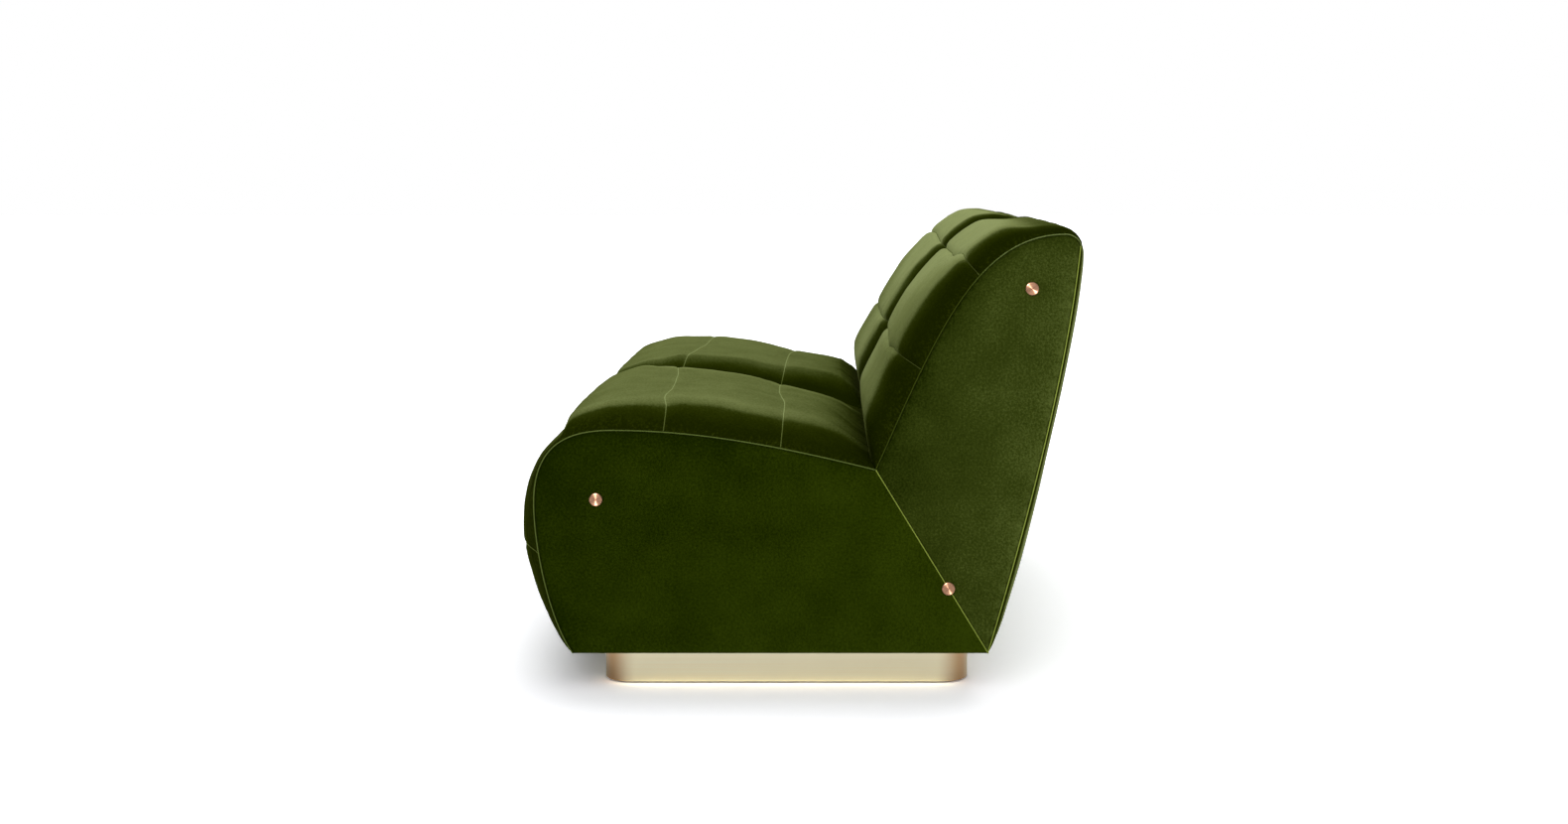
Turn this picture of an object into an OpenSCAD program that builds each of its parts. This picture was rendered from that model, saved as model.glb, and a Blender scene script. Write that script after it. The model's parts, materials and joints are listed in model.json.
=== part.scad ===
// Armless two-seat loveseat with a velvet cover over a timber frame, on a metal plinth.
// X runs across the width and +X is the sitter's left, the front faces -Y, and Z is up.
// The origin is on the floor, under the middle of the whole piece.
// Points in a profile are [distance behind the nose, height over the floor].

/* [Width] */
// Width over the two side panels
body_w = 1500; // [1200:10:1900]

/* [Seat line, seen from the side] */
// Height of the foremost point, the nose
nose_h = 320; // [290:1:350]
// How far the bottom front edge lies behind the nose
toe_setback = 62; // [30:1:100]
// How far the top of the seat line lies behind the nose
crest_setback = 135; // [110:1:170]
// Height of the top of the seat line
crest_h = 449; // [420:1:480]
// How far the fold between seat and back lies behind the nose
seat_depth = 577; // [520:1:660]
// Height of the fold
fold_h = 382; // [360:1:400]
// Slope of the seat line at the fold, in degrees below level
fold_slope = 14; // [8:1:20]
// How square the rounded front corner is, from 0.6 for round to 0.95 for square
corner_fullness = 0.87; // [0.6:0.01:0.95]

/* [Back line, seen from the side] */
// Slope of the back line at the fold, in degrees over level
back_slope = 66; // [60:1:72]
// How far the top of the back line lies behind the fold
back_rake = 315; // [270:1:370]
// Height of the top of the back line
back_h = 777; // [700:1:860]
// How far the rear edge lies behind the top of the back line
edge_run = 23; // [18:1:32]
// How far the rear edge lies below the top of the back line
edge_drop = 19; // [15:1:28]
// How far the rear bottom tip, the heel, lies behind the fold
heel_run = 193; // [160:1:230]
// Slope of the rear line at the heel, in degrees over level
heel_slope = 74; // [68:1:78]

/* [Crown of the cushions over the seams] */
// Crown at the bottom front edge
toe_crown = 36; // [20:1:40]
// Crown over the lower front seam
front_crown = 47; // [35:1:55]
// Crown at the nose
nose_crown = 38; // [25:1:50]
// Crown over the rounded front corner
corner_crown = 12; // [5:1:25]
// Crown over the front half of the seat
seat_crown = 51; // [35:1:60]
// Crown over the rear seam of the seat
rear_crown = 45; // [30:1:55]
// Crown that both cushions keep along the fold
fold_crown = 19; // [12:1:30]
// Length over which the crown falls into the fold
fold_reach = 60; // [40:5:80]
// Crown of the back where it meets the small of the back
lumbar_crown = 57; // [45:1:65]
// Crown over the lower seam of the back
shoulder_crown = 53; // [40:1:60]
// Crown over the upper seam of the back
upper_crown = 36; // [25:1:45]
// Crown at the top of the back
top_crown = 8; // [4:1:14]
// Crown at the seam along the rear top edge
edge_crown = 2; // [1:0.5:4]
// Crown of the outside back
outside_crown = 13; // [6:1:18]
// Crown left in the channel between the two bays
channel_crown = 7; // [3:1:12]

/* [Cross-section of the cushions] */
// How far the ridges of a seat cushion lie from its sides
seat_ridge = 145; // [110:5:180]
// Share of the crown that the ridges of a seat cushion reach
seat_share = 0.9; // [0.8:0.01:0.97]
// How straight the side bands of a seat cushion are, from 0 for round to 1 for straight
seat_straight = 0.85; // [0:0.01:1]
// How far the ridges of a back cushion lie from its sides
back_ridge = 185; // [150:5:220]
// Share of the crown that the ridges of a back cushion reach
back_share = 0.96; // [0.8:0.01:0.97]
// How straight the side bands of a back cushion are, from 0 for round to 1 for straight
back_straight = 0.25; // [0:0.01:1]

/* [Cross seams] */
// Height of the lower front seam
low_seam_h = 238; // [200:1:270]
// How far the front seam on top lies behind the nose
front_seam_y = 220; // [190:1:250]
// How far the rear seam on top lies in front of the fold
rear_seam_y = 160; // [120:1:200]
// How far the lower seam of the back lies above the fold
back_seam_rise = 169; // [140:1:190]
// How far the upper seam of the back lies below its top
top_seam_drop = 69; // [55:1:90]
// Depth of the dip at a cross seam
seam_dip = 6; // [2:0.5:9]
// Half the width of the dip at a cross seam
seam_w = 12; // [8:1:16]

/* [Upholstery] */
// Thickness of the cover with its wadding
layer_t = 10; // [6:1:12]
// Thickness of the padding over the frame, cover included
pad_t = 45; // [35:1:50]
// Thickness of the padding along the top of the back
top_pad_t = 16; // [15:1:18]
// Thickness of the upholstered side panels
panel_t = 5; // [4:0.5:8]
// Diameter of the piping along the side panels
pipe_d = 5; // [3:0.5:6]
// Thickness of the outside back
outside_t = 8; // [5:1:12]
// Clearance where two soft blocks meet
soft_gap = 0.3; // [0.2:0.1:1]

/* [Frame] */
// Thickness of the plywood ribs
rib_t = 18; // [12:1:24]
// Thickness of the bent plywood front
bent_t = 10; // [6:1:14]
// Thickness of the timber rails
rail_t = 24; // [18:1:30]
// Width of the timber rails on the slope between the blocks
rail_w = 110; // [80:1:130]
// Thickness of the bottom boards
board_t = 12; // [9:1:18]
// Leg of the triangular glue blocks
block_leg = 40; // [25:1:50]
// Length of the triangular glue blocks
block_len = 70; // [40:1:100]
// Width of a webbing strap
strap_w = 60; // [40:1:70]
// Thickness of a webbing strap
strap_t = 2; // [1:0.5:3]
// Number of straps in each bay
strap_n = 5; // [3:1:6]

/* [Plinth] */
// Height of the metal plinth
plinth_h = 61; // [45:1:100]
// Thickness of the plinth's sheet metal
sheet_t = 1.5; // [1:0.5:3]
// Radius of the plinth's upright corners
plinth_r = 50; // [20:1:70]
// How far the plinth stands in from each side
side_recess = 52; // [30:1:90]
// How far the plinth stands back from the bottom front edge
front_recess = 45; // [25:1:80]
// How far the plinth stands in front of the heel
heel_recess = 29; // [15:1:60]
// Thickness of the timber frame in the plinth
plinth_frame_t = 22; // [18:1:30]
// Thickness of the board on top of the plinth frame
plinth_board_t = 15; // [12:1:18]
// Thickness of the board that closes the plinth below
base_board_t = 6; // [4:1:9]
// Thickness of the dust cover under the body
dust_t = 1; // [0.5:0.5:2]
// Thickness of the felt glides
glide_t = 3; // [2:0.5:6]
// Diameter of the felt glides
glide_d = 32; // [20:1:40]

/* [Buttons and fasteners] */
// Diameter of the turned side buttons
button_d = 25; // [18:1:32]
// How far a side button stands out from its panel
button_h = 4.5; // [3:0.5:8]
// How far the front button lies behind the nose
front_button_y = 106; // [90:1:140]
// Height of the front button
front_button_h = 331; // [280:1:350]
// Height of the button on the joint between the blocks
joint_button_h = 178; // [150:1:250]
// How far the top button lies behind the fold
top_button_y = 260; // [235:1:270]
// How far the top button lies below the top of the back line
top_button_drop = 91; // [80:1:120]
// Diameter of the button studs
stud_d = 6; // [4:1:8]
// Diameter of the frame bolts
bolt_d = 8; // [6:1:10]
// Clearance between a stud or bolt and its hole
hole_gap = 0.5; // [0.3:0.1:1]

/* [Hidden] */

// Colours
velvet = [0.33, 0.38, 0.16];
velvet_side = [0.20, 0.25, 0.06];
piping_green = [0.42, 0.50, 0.22];
foam_cream = [0.93, 0.89, 0.72];
timber = [0.80, 0.66, 0.45];
plywood = [0.76, 0.60, 0.38];
webbing_black = [0.16, 0.16, 0.17];
brass = [0.82, 0.76, 0.60];
copper = [0.78, 0.55, 0.43];
steel = [0.62, 0.63, 0.65];
felt = [0.35, 0.33, 0.31];

// Points and lines in the side view
function unit(v) = v / norm(v);
function left_of(v) = [-v[1], v[0]];
function toward(angle) = [cos(angle), sin(angle)];
function smooth(t) = t <= 0 ? 0 : t >= 1 ? 1 : t * t * (3 - 2 * t);
function bend(a, b, c, d, t) =
    a * pow(1 - t, 3) + 3 * b * t * pow(1 - t, 2) + 3 * c * t * t * (1 - t) + d * pow(t, 3);
function curve(a, b, c, d, n) = [for (i = [0:n]) bend(a, b, c, d, i / n)];
function rest_of(list) = [for (i = [1:len(list) - 1]) list[i]];
function lengths(pts) = [for (i = 0, sum = 0; i < len(pts); i = i + 1,
    sum = sum + (i < len(pts) ? norm(pts[i] - pts[i - 1]) : 0)) sum];

// A line is its table of [length, y], its table of [length, z] and its whole length
function make_line(pts) = let (l = lengths(pts)) [
    [for (i = [0:len(pts) - 1]) [l[i], pts[i][0]]],
    [for (i = [0:len(pts) - 1]) [l[i], pts[i][1]]],
    l[len(l) - 1]];
function spot(line, s) = [lookup(s, line[0]), lookup(s, line[1])];
function heading(line, s) = unit(spot(line, min(line[2], s + probe)) - spot(line, max(0, s - probe)));
probe = 3;
curve_n = 24;

base_z = glide_t + plinth_h + dust_t;
toe = [toe_setback, base_z];
nose = [0, nose_h];
crest = [crest_setback, crest_h];
fold = [seat_depth, fold_h];
heel = [seat_depth + heel_run, base_z];
top = [seat_depth + back_rake, back_h];
edge = top + [edge_run, -edge_drop];

// The joint between the blocks runs from the heel up to the fold and on between the cushions
joint_up = unit(fold - heel);
joint_out = -left_of(joint_up);
joint_angle = atan2(joint_up[1], joint_up[0]);
fold_back = fold + soft_gap * joint_out;
heel_back = heel + soft_gap * joint_out;

// How far each curve's handles reach, as a share of the curve's own run
toe_pull = 0.24;
nose_pull = 0.31;
crest_pull = 0.5;
seat_pull = 0.34;
back_pull = 0.48;
top_pull = 0.3;
edge_pull = 0.5;
rear_pull = 0.3;
toe_angle = 125;

nose_run = norm(nose - toe);
seat_run = norm(fold - crest);
back_run = norm(top - fold_back);
rear_run = norm(edge - heel_back);
seat_pts = concat(
    curve(toe, toe + toe_pull * nose_run * toward(toe_angle), nose - [0, nose_pull * nose_run],
        nose, curve_n),
    rest_of(curve(nose, nose + [0, corner_fullness * (crest_h - nose_h)],
        crest - [crest_pull * crest_setback, 0], crest, curve_n)),
    rest_of(curve(crest, crest + [seat_pull * seat_run, 0],
        fold + seat_pull * seat_run * toward(180 - fold_slope), fold, curve_n)));
back_pts = concat(
    curve(fold_back, fold_back + back_pull * back_run * toward(back_slope),
        top - [top_pull * back_run, 0], top, curve_n),
    rest_of(curve(top, top + [edge_pull * edge_run, 0], edge + [0, edge_pull * edge_drop],
        edge, curve_n)));
rear_pts = curve(edge, edge - [0, rear_pull * rear_run],
    heel_back + rear_pull * rear_run * toward(heel_slope), heel_back, curve_n);
seat_line = make_line(seat_pts);
back_line = make_line(back_pts);
rear_line = make_line(rear_pts);

// Length along a line at which it reaches a distance or a height, between two of its points
function length_at(line, axis, value, from, to) =
    lookup(value, [for (i = [from:to]) [line[axis][i][1], line[axis][i][0]]]);
nose_s = seat_line[0][curve_n][0];
corner_s = seat_line[0][curve_n + curve_n / 3][0];
bend_s = seat_line[0][curve_n + curve_n / 2][0];
crest_s = seat_line[0][2 * curve_n][0];
low_seam_s = length_at(seat_line, 1, low_seam_h, 0, curve_n);
front_seam_s = length_at(seat_line, 0, front_seam_y, 2 * curve_n, 3 * curve_n);
rear_seam_s = length_at(seat_line, 0, seat_depth - rear_seam_y, 2 * curve_n, 3 * curve_n);
back_seam_s = length_at(back_line, 1, fold_h + back_seam_rise, 0, curve_n - 1);
top_seam_s = length_at(back_line, 1, back_h - top_seam_drop, 0, curve_n - 1);
top_s = back_line[0][curve_n][0];
seat_s = seat_line[2];
back_s = back_line[2];
rear_s = rear_line[2];

// Stations: places along a line, closer together at the seams
function steps(a, b, n) = [for (i = [0:n - 1]) a + (b - a) * i / n];
function section(a, b, n) = concat([a], steps(a + seam_w, b - seam_w, n), [b - seam_w]);
seat_seams = [low_seam_s, front_seam_s, rear_seam_s];
back_seams = [back_seam_s, top_seam_s];
seat_stations = concat(section(0, low_seam_s, 4), section(low_seam_s, front_seam_s, 11),
    section(front_seam_s, rear_seam_s, 4), section(rear_seam_s, seat_s, 4), [seat_s]);
back_stations = concat(section(0, back_seam_s, 4), section(back_seam_s, top_seam_s, 4),
    section(top_seam_s, top_s, 5), steps(top_s, back_s, 4), [back_s]);
rear_stations = concat(steps(0, rear_s, 16), [rear_s]);

// Frames: each station's point, its way out for one unit of height, and its length.
// The way out turns into the cut plane at each end, over a length given there,
// so that the ends come out flat.
long_fade_share = 0.19;
edge_fade_share = 0.26;
long_fade = long_fade_share * seat_depth;
edge_fade = edge_fade_share * edge_run;
function frame_at(line, s, start, end) = let (
    n = left_of(heading(line, s)),
    a = smooth(1 - s / start[1]),
    b = smooth(1 - (line[2] - s) / end[1]),
    d = unit((1 - a - b) * n + a * start[0] + b * end[0])) [spot(line, s), d / (d * n), s];
function frames(line, stations, start, end) = [for (s = stations) frame_at(line, s, start, end)];
edge_out = unit(left_of(heading(back_line, back_s)) + left_of(heading(rear_line, 0)));
seat_frames = frames(seat_line, seat_stations, [[-1, 0], long_fade], [joint_up, long_fade]);
back_frames = frames(back_line, back_stations, [joint_up, long_fade], [edge_out, edge_fade]);
rear_frames = frames(rear_line, rear_stations, [edge_out, edge_fade], [-joint_up, long_fade]);

// A list of [length, value] read with soft steps between its rows
function along(table, s, i = 0) =
    i >= len(table) - 1 ? table[len(table) - 1][1] :
    s <= table[i + 1][0] ? table[i][1] + (table[i + 1][1] - table[i][1])
        * smooth((s - table[i][0]) / (table[i + 1][0] - table[i][0])) :
    along(table, s, i + 1);
function crown_for(fr, rise) = rise / norm(fr[1]);
seat_crowns = [[0, toe_crown], [low_seam_s, front_crown], [nose_s, nose_crown],
    [corner_s, corner_crown], [front_seam_s, seat_crown], [rear_seam_s, rear_crown],
    [seat_s - fold_reach, rear_crown],
    [seat_s, crown_for(seat_frames[len(seat_frames) - 1], fold_crown)]];
back_crowns = [[0, crown_for(back_frames[0], fold_crown)], [fold_reach, lumbar_crown],
    [back_seam_s, shoulder_crown], [top_seam_s, upper_crown], [top_s, top_crown],
    [back_s, edge_crown]];
rear_crowns = [[0, edge_crown], [rear_s / 5, outside_crown], [3 * rear_s / 4, outside_crown],
    [rear_s, 0]];
back_pads = [[0, pad_t], [top_seam_s - pad_t, pad_t], [top_s - pad_t, top_pad_t],
    [back_s, top_pad_t]];
seat_pads = [[0, pad_t], [seat_s, pad_t]];

// Seen across, a cushion rises up a side band to its ridge and goes on gently to the middle of
// its bay. The rise is a share of the crown at a distance t in from a side. A section is its
// ridge's distance from the side, its share of the crown there, and how straight its band is.
half_w = body_w / 2;
cushion_w = half_w - panel_t - soft_gap / 2;
span = (cushion_w - soft_gap / 2) / 2;
seat_section = [seat_ridge, seat_share, seat_straight];
back_section = [back_ridge, back_share, back_straight];
ridge_soft = 0.035;
function band_rise(u, straight) = (1 - straight) * (1 - pow(max(0, 1 - u), 3)) + straight * u;
function face_rise(t, c) = 1 - (1 - c[1]) * pow(1 - (t - c[0]) / (span - c[0]), 2);
function soft_min(a, b) = (a + b - sqrt(pow(a - b, 2) + pow(ridge_soft, 2))) / 2;
function rise(t, c) = soft_min(c[1] * band_rise(t / c[0], c[2]), face_rise(t, c));
function rise_share(t, c) = (rise(t, c) - rise(0, c)) / (rise(span, c) - rise(0, c));
band_steps = [0, 0.06, 0.2, 0.45, 0.75];
face_steps = [0, 0.08, 0.3, 0.6];
function steps_in(r) = concat([for (q = band_steps) q * r], [for (q = face_steps) r + q * (span - r)]);

function dip(s, seams) = seam_dip * max([for (q = seams) max(0, 1 - abs(s - q) / seam_w)]);
function height_at(s, share, crowns, seams, low) = let (full = along(crowns, s))
    max(0, full - dip(s, seams) * min(1, full / corner_crown)) * share + min(low, full) * (1 - share);

// Where the nose stands, so that the origin is under the middle of the whole piece
front_reach = max([for (f = seat_frames)
    -(f[0] + along(seat_crowns, f[2]) * f[1])[0]]);
rear_reach = max([for (f = rear_frames) (f[0] + along(rear_crowns, f[2]) * f[1])[0]]);
nose_y = (front_reach - rear_reach) / 2;

// Solids from the side view
module slab(pts, x0, x1) {
    translate([x0, nose_y, 0]) rotate([90, 0, 90]) linear_extrude(x1 - x0) polygon(pts);
}
module at_profile(p) { translate([0, nose_y + p[0], p[1]]) children(); }
module both_sides() {
    children();
    mirror([1, 0, 0]) children();
}
function pads_in(fr, table, extra) = [for (f = fr) f[0] - (along(table, f[2]) + extra) * f[1]];
function inset(fr, depth) = [for (f = fr) f[0] - depth * f[1]];
function between(fr, s0, s1) = [for (f = fr) if (f[2] >= s0 && f[2] <= s1) f];
function run_of(fr, first, last) = [for (i = [first:last]) fr[i]];
function index_of(list, s) = search(s, list)[0];
function reversed(list) = [for (i = [len(list) - 1:-1:0]) list[i]];
function band(fr, table, d0, d1) = concat(pads_in(fr, table, d0), reversed(pads_in(fr, table, d1)));

// A closed skin from a list of rings, each ring with the same number of points
module loft(rings) {
    n = len(rings[0]);
    last = (len(rings) - 1) * n;
    polyhedron(
        points = [for (r = rings) each r],
        faces = concat(
            [for (i = [0:len(rings) - 2]) for (j = [0:n - 1])
                [i * n + j, (i + 1) * n + j, (i + 1) * n + (j + 1) % n]],
            [for (i = [0:len(rings) - 2]) for (j = [0:n - 1])
                [i * n + j, (i + 1) * n + (j + 1) % n, i * n + (j + 1) % n]],
            [for (j = [0:n - 3]) [n - 1, j, j + 1]],
            [for (j = [0:n - 3]) [last + n - 1, last + j + 1, last + j]]),
        convexity = 6);
}
module cushion(fr, crowns, seams, c) {
    half = [for (t = steps_in(c[0])) [t, rise_share(t, c)]];
    places = concat(
        [for (q = half) [soft_gap / 2 + q[0], q[1], channel_crown]],
        [[cushion_w - span, 1, 0]],
        reversed([for (q = half) [cushion_w - q[0], q[1], 0]]));
    loft([for (f = fr) concat(
        [for (q = places) let (p = f[0] + height_at(f[2], q[1], crowns, seams, q[2]) * f[1])
            [q[0], nose_y + p[0], p[1]]],
        [for (x = [cushion_w, soft_gap / 2]) let (p = f[0] - layer_t * f[1])
            [x, nose_y + p[0], p[1]]])]);
}
pipe_sides = 6;
module piping(fr) {
    r = pipe_d / 2;
    loft([for (f = fr) [for (j = [0:pipe_sides - 1]) let (
        a = -360 * j / pipe_sides,
        p = f[0] + r * (sin(a) - 1) * f[1])
        [half_w - r + r * cos(a), nose_y + p[0], p[1]]]]);
}

// Holes and studs at the side buttons
joint_button_share = (fold_h - joint_button_h) / (fold_h - base_z);
front_button = [front_button_y, front_button_h];
joint_button = fold + joint_button_share * (heel - fold) + soft_gap / 2 * joint_out;
top_button = [seat_depth + top_button_y, back_h - top_button_drop];
buttons = [front_button, joint_button, top_button];
over = 1;
module at_buttons() {
    for (p = buttons) at_profile(p) rotate([0, 90, 0]) children();
}
module button_holes(x0, x1) {
    translate([x0 - over, 0, 0]) at_buttons()
        cylinder(d = stud_d + 2 * hole_gap, h = x1 - x0 + 2 * over, $fn = 32);
}

// Places of the bolts between the blocks and in the plinth
bay_w = half_w - panel_t - rib_t - rib_t / 2;
bay_mid = rib_t / 2 + bay_w / 2;
bolt_share = 0.25;
bolt_xs = [for (side = [-1, 1]) for (k = [-1, 1]) side * bay_mid + k * bolt_share * bay_w];
seat_rail_top = pad_t * norm(seat_frames[len(seat_frames) - 1][1]);
bolt_drop = seat_rail_top + rail_w / 2;
module on_joint(drop) {
    translate([0, nose_y + fold[0] - drop * joint_up[0], fold[1] - drop * joint_up[1]])
        rotate([joint_angle - 90, 0, 0]) children();
}
module joint_holes() {
    for (x = bolt_xs) translate([x, 0, 0]) on_joint(bolt_drop) rotate([90, 0, 0])
        cylinder(d = bolt_d + 2 * hole_gap, h = 4 * rail_t, center = true, $fn = 32);
}
plinth_front = toe_setback + front_recess;
plinth_rear = heel[0] - heel_recess;
plinth_mid = nose_y + (plinth_front + plinth_rear) / 2;
plinth_d = plinth_rear - plinth_front;
plinth_w = body_w - 2 * side_recess;
plinth_bolt_in = 80;
plinth_bolt_places = [for (side = [-1, 1]) for (k = [-1, 1]) for (x = [-1, 1])
    [side * (bay_mid + x * bolt_share * bay_w), plinth_mid + k * (plinth_d / 2 - plinth_bolt_in)]];
module plinth_holes(z, h) {
    for (p = plinth_bolt_places) translate([p[0], p[1], z - over])
        cylinder(d = bolt_d + 2 * hole_gap, h = h + 2 * over, $fn = 32);
}

// Plinth
module round_rect(w, d, r) {
    square([w - 2 * r, d], center = true);
    square([w, d - 2 * r], center = true);
    for (x = [-1, 1]) for (y = [-1, 1])
        translate([x * (w / 2 - r), y * (d / 2 - r)]) circle(r = r, $fn = 64);
}
module plinth_plate(margin, z, h) {
    translate([0, plinth_mid, z]) linear_extrude(h)
        round_rect(plinth_w - 2 * margin, plinth_d - 2 * margin, plinth_r - margin);
}
frame_z = glide_t + base_board_t;
board_z = glide_t + plinth_h - plinth_board_t;
module plinth_shell() {
    color(brass) difference() {
        plinth_plate(0, glide_t, plinth_h);
        plinth_plate(sheet_t, glide_t - over, plinth_h + 2 * over);
    }
}
module plinth_frame() {
    inner_w = plinth_w - 2 * (sheet_t + plinth_frame_t);
    inner_d = plinth_d - 2 * (sheet_t + plinth_frame_t);
    cell_w = (inner_w - plinth_frame_t) / 2;
    color(timber) difference() {
        plinth_plate(sheet_t, frame_z, board_z - frame_z);
        for (side = [-1, 1])
            translate([side * (plinth_frame_t + cell_w) / 2, plinth_mid, (frame_z + board_z) / 2])
                cube([cell_w, inner_d, board_z - frame_z + 2 * over], center = true);
    }
}
module plinth_top_board() {
    color(plywood) difference() {
        plinth_plate(sheet_t, board_z, plinth_board_t);
        plinth_holes(board_z, plinth_board_t);
    }
}
module plinth_base_board() {
    color(plywood) plinth_plate(sheet_t, glide_t, base_board_t);
}
glide_in = 45;
module floor_glides() {
    color(felt) for (x = [-1, 0, 1]) for (y = [-1, 1])
        translate([x * (plinth_w / 2 - glide_in), plinth_mid + y * (plinth_d / 2 - glide_in), 0])
            cylinder(d = glide_d, h = glide_t, $fn = 48);
}
head_t = 5;
head_w = 2 * bolt_d;
nut_t = 6.5;
nut_w = 1.9 * bolt_d;
bolt_out = 2;
module plinth_bolts() {
    top_z = base_z + board_t;
    color(steel) for (p = plinth_bolt_places) translate([p[0], p[1], 0]) {
        translate([0, 0, board_z - head_t]) cylinder(d = head_w, h = head_t, $fn = 48);
        translate([0, 0, board_z])
            cylinder(d = bolt_d, h = top_z + nut_t - board_z + bolt_out, $fn = 32);
        translate([0, 0, top_z]) cylinder(d = nut_w, h = nut_t, $fn = 6);
    }
}
dust_in = 10;
module dust_cover() {
    front_y = nose_y + toe_setback + dust_in;
    color(webbing_black) difference() {
        translate([-half_w + dust_in, front_y, base_z - dust_t])
            cube([body_w - 2 * dust_in, heel[0] - toe_setback - 2 * dust_in, dust_t]);
        plinth_holes(base_z - dust_t, dust_t);
    }
}

// Seat block
outer_rib_x = half_w - panel_t - rib_t;
module seat_rib(x0) { slab(concat(inset(seat_frames, pad_t), [heel]), x0, x0 + rib_t); }
module outer_seat_rib() {
    difference() {
        seat_rib(outer_rib_x);
        button_holes(outer_rib_x, outer_rib_x + rib_t);
    }
}
module seat_rib_left() { color(plywood) outer_seat_rib(); }
module seat_rib_centre() { color(plywood) seat_rib(-rib_t / 2); }
module seat_rib_right() { color(plywood) mirror([1, 0, 0]) outer_seat_rib(); }
module bay_slab(pts) { slab(pts, rib_t / 2, outer_rib_x); }
board_front = inset(seat_frames, pad_t + bent_t)[0][0];
board_rear = heel[0] + board_t * joint_up[0] / joint_up[1] - rail_t;
module seat_bottom_boards() {
    color(plywood) difference() {
        both_sides() translate([rib_t / 2, nose_y + board_front, base_z])
            cube([bay_w, board_rear - board_front, board_t]);
        plinth_holes(base_z, board_t);
    }
}
module seat_front_boards() {
    fr = between(seat_frames, 0, bend_s);
    color(plywood) both_sides() bay_slab(concat(inset(fr, pad_t), reversed(inset(fr, pad_t + bent_t))));
}
nose_rail_t = 34;
module seat_nose_rails() {
    fr = between(seat_frames, bend_s, crest_s);
    color(timber) both_sides() bay_slab(band(fr, seat_pads, strap_t, strap_t + nose_rail_t));
}
module seat_rear_rails() {
    color(timber) difference() {
        both_sides() translate([rib_t / 2, 0, 0]) on_joint(seat_rail_top)
            translate([0, -rail_t, -rail_w]) cube([bay_w, rail_t, rail_w]);
        joint_holes();
    }
}
module corner_blocks() {
    color(timber) both_sides()
        for (y = [board_front + block_len, board_rear - rail_t - block_len])
        for (x = [rib_t / 2, outer_rib_x])
            translate([x, nose_y + y + block_len, base_z + board_t]) rotate([90, 0, 0])
                linear_extrude(block_len)
                polygon([[0, 0], [x < half_w / 2 ? block_leg : -block_leg, 0], [0, block_leg]]);
}
strap_pitch = bay_w / strap_n;
module straps(fr, table) {
    both_sides() for (k = [0:strap_n - 1])
        let (x = rib_t / 2 + (k + 0.5) * strap_pitch)
            slab(band(fr, table, 0, strap_t), x - strap_w / 2, x + strap_w / 2);
}
module seat_webbing() {
    color(webbing_black) straps(between(seat_frames, bend_s, seat_s), seat_pads);
}
module seat_foam() {
    slab(band(seat_frames, seat_pads, 0, layer_t - pad_t), soft_gap / 2, cushion_w);
}
module seat_foam_left() { color(foam_cream) seat_foam(); }
module seat_foam_right() { color(foam_cream) mirror([1, 0, 0]) seat_foam(); }
module seat_cushion() { cushion(seat_frames, seat_crowns, seat_seams, seat_section); }
module seat_cushion_left() { color(velvet) seat_cushion(); }
module seat_cushion_right() { color(velvet) mirror([1, 0, 0]) seat_cushion(); }
module seat_side_panel() {
    difference() {
        slab(concat(inset(seat_frames, pipe_d), [heel]), half_w - panel_t, half_w);
        button_holes(half_w - panel_t, half_w);
    }
}
module seat_side_panel_left() { color(velvet_side) seat_side_panel(); }
module seat_side_panel_right() { color(velvet_side) mirror([1, 0, 0]) seat_side_panel(); }
module seat_piping_left() { color(piping_green) piping(seat_frames); }
module seat_piping_right() { color(piping_green) mirror([1, 0, 0]) piping(seat_frames); }

// Back block
module back_rib(x0) {
    slab(concat(pads_in(back_frames, back_pads, 0), inset(rear_frames, outside_t)), x0, x0 + rib_t);
}
module outer_back_rib() {
    difference() {
        back_rib(outer_rib_x);
        button_holes(outer_rib_x, outer_rib_x + rib_t);
    }
}
module back_rib_left() { color(plywood) outer_back_rib(); }
module back_rib_centre() { color(plywood) back_rib(-rib_t / 2); }
module back_rib_right() { color(plywood) mirror([1, 0, 0]) outer_back_rib(); }
top_rail_skip = 2;
module back_top_rails() {
    first = index_of(back_stations, top_seam_s) + top_rail_skip;
    fr = run_of(back_frames, first, index_of(back_stations, top_s));
    color(timber) both_sides() bay_slab(band(fr, back_pads, strap_t, strap_t + rail_t));
}
mid_rail_steps = [6, 8];
module back_mid_rails() {
    fr = run_of(rear_frames, mid_rail_steps[0], mid_rail_steps[1]);
    color(timber) both_sides() bay_slab(concat(inset(fr, outside_t),
        reversed(inset(fr, outside_t + rail_t))));
}
module back_lower_rails() {
    color(timber) difference() {
        both_sides() translate([rib_t / 2, 0, 0]) on_joint(seat_rail_top)
            translate([0, soft_gap, -rail_w]) cube([bay_w, rail_t, rail_w]);
        joint_holes();
    }
}
module back_webbing() {
    color(webbing_black) straps(between(back_frames, 0, top_s), back_pads);
}
module back_foam() {
    slab(concat(pads_in(back_frames, back_pads, 0), reversed(inset(back_frames, layer_t))),
        soft_gap / 2, cushion_w);
}
module back_foam_left() { color(foam_cream) back_foam(); }
module back_foam_right() { color(foam_cream) mirror([1, 0, 0]) back_foam(); }
module back_cushion() { cushion(back_frames, back_crowns, back_seams, back_section); }
module back_cushion_left() { color(velvet) back_cushion(); }
module back_cushion_right() { color(velvet) mirror([1, 0, 0]) back_cushion(); }
module back_side_panel() {
    difference() {
        slab(concat(inset(back_frames, pipe_d), inset(rear_frames, pipe_d)),
            half_w - panel_t, half_w);
        button_holes(half_w - panel_t, half_w);
    }
}
module back_side_panel_left() { color(velvet_side) back_side_panel(); }
module back_side_panel_right() { color(velvet_side) mirror([1, 0, 0]) back_side_panel(); }
back_pipe_frames = concat(back_frames, rest_of(rear_frames));
module back_piping_left() { color(piping_green) piping(back_pipe_frames); }
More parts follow.
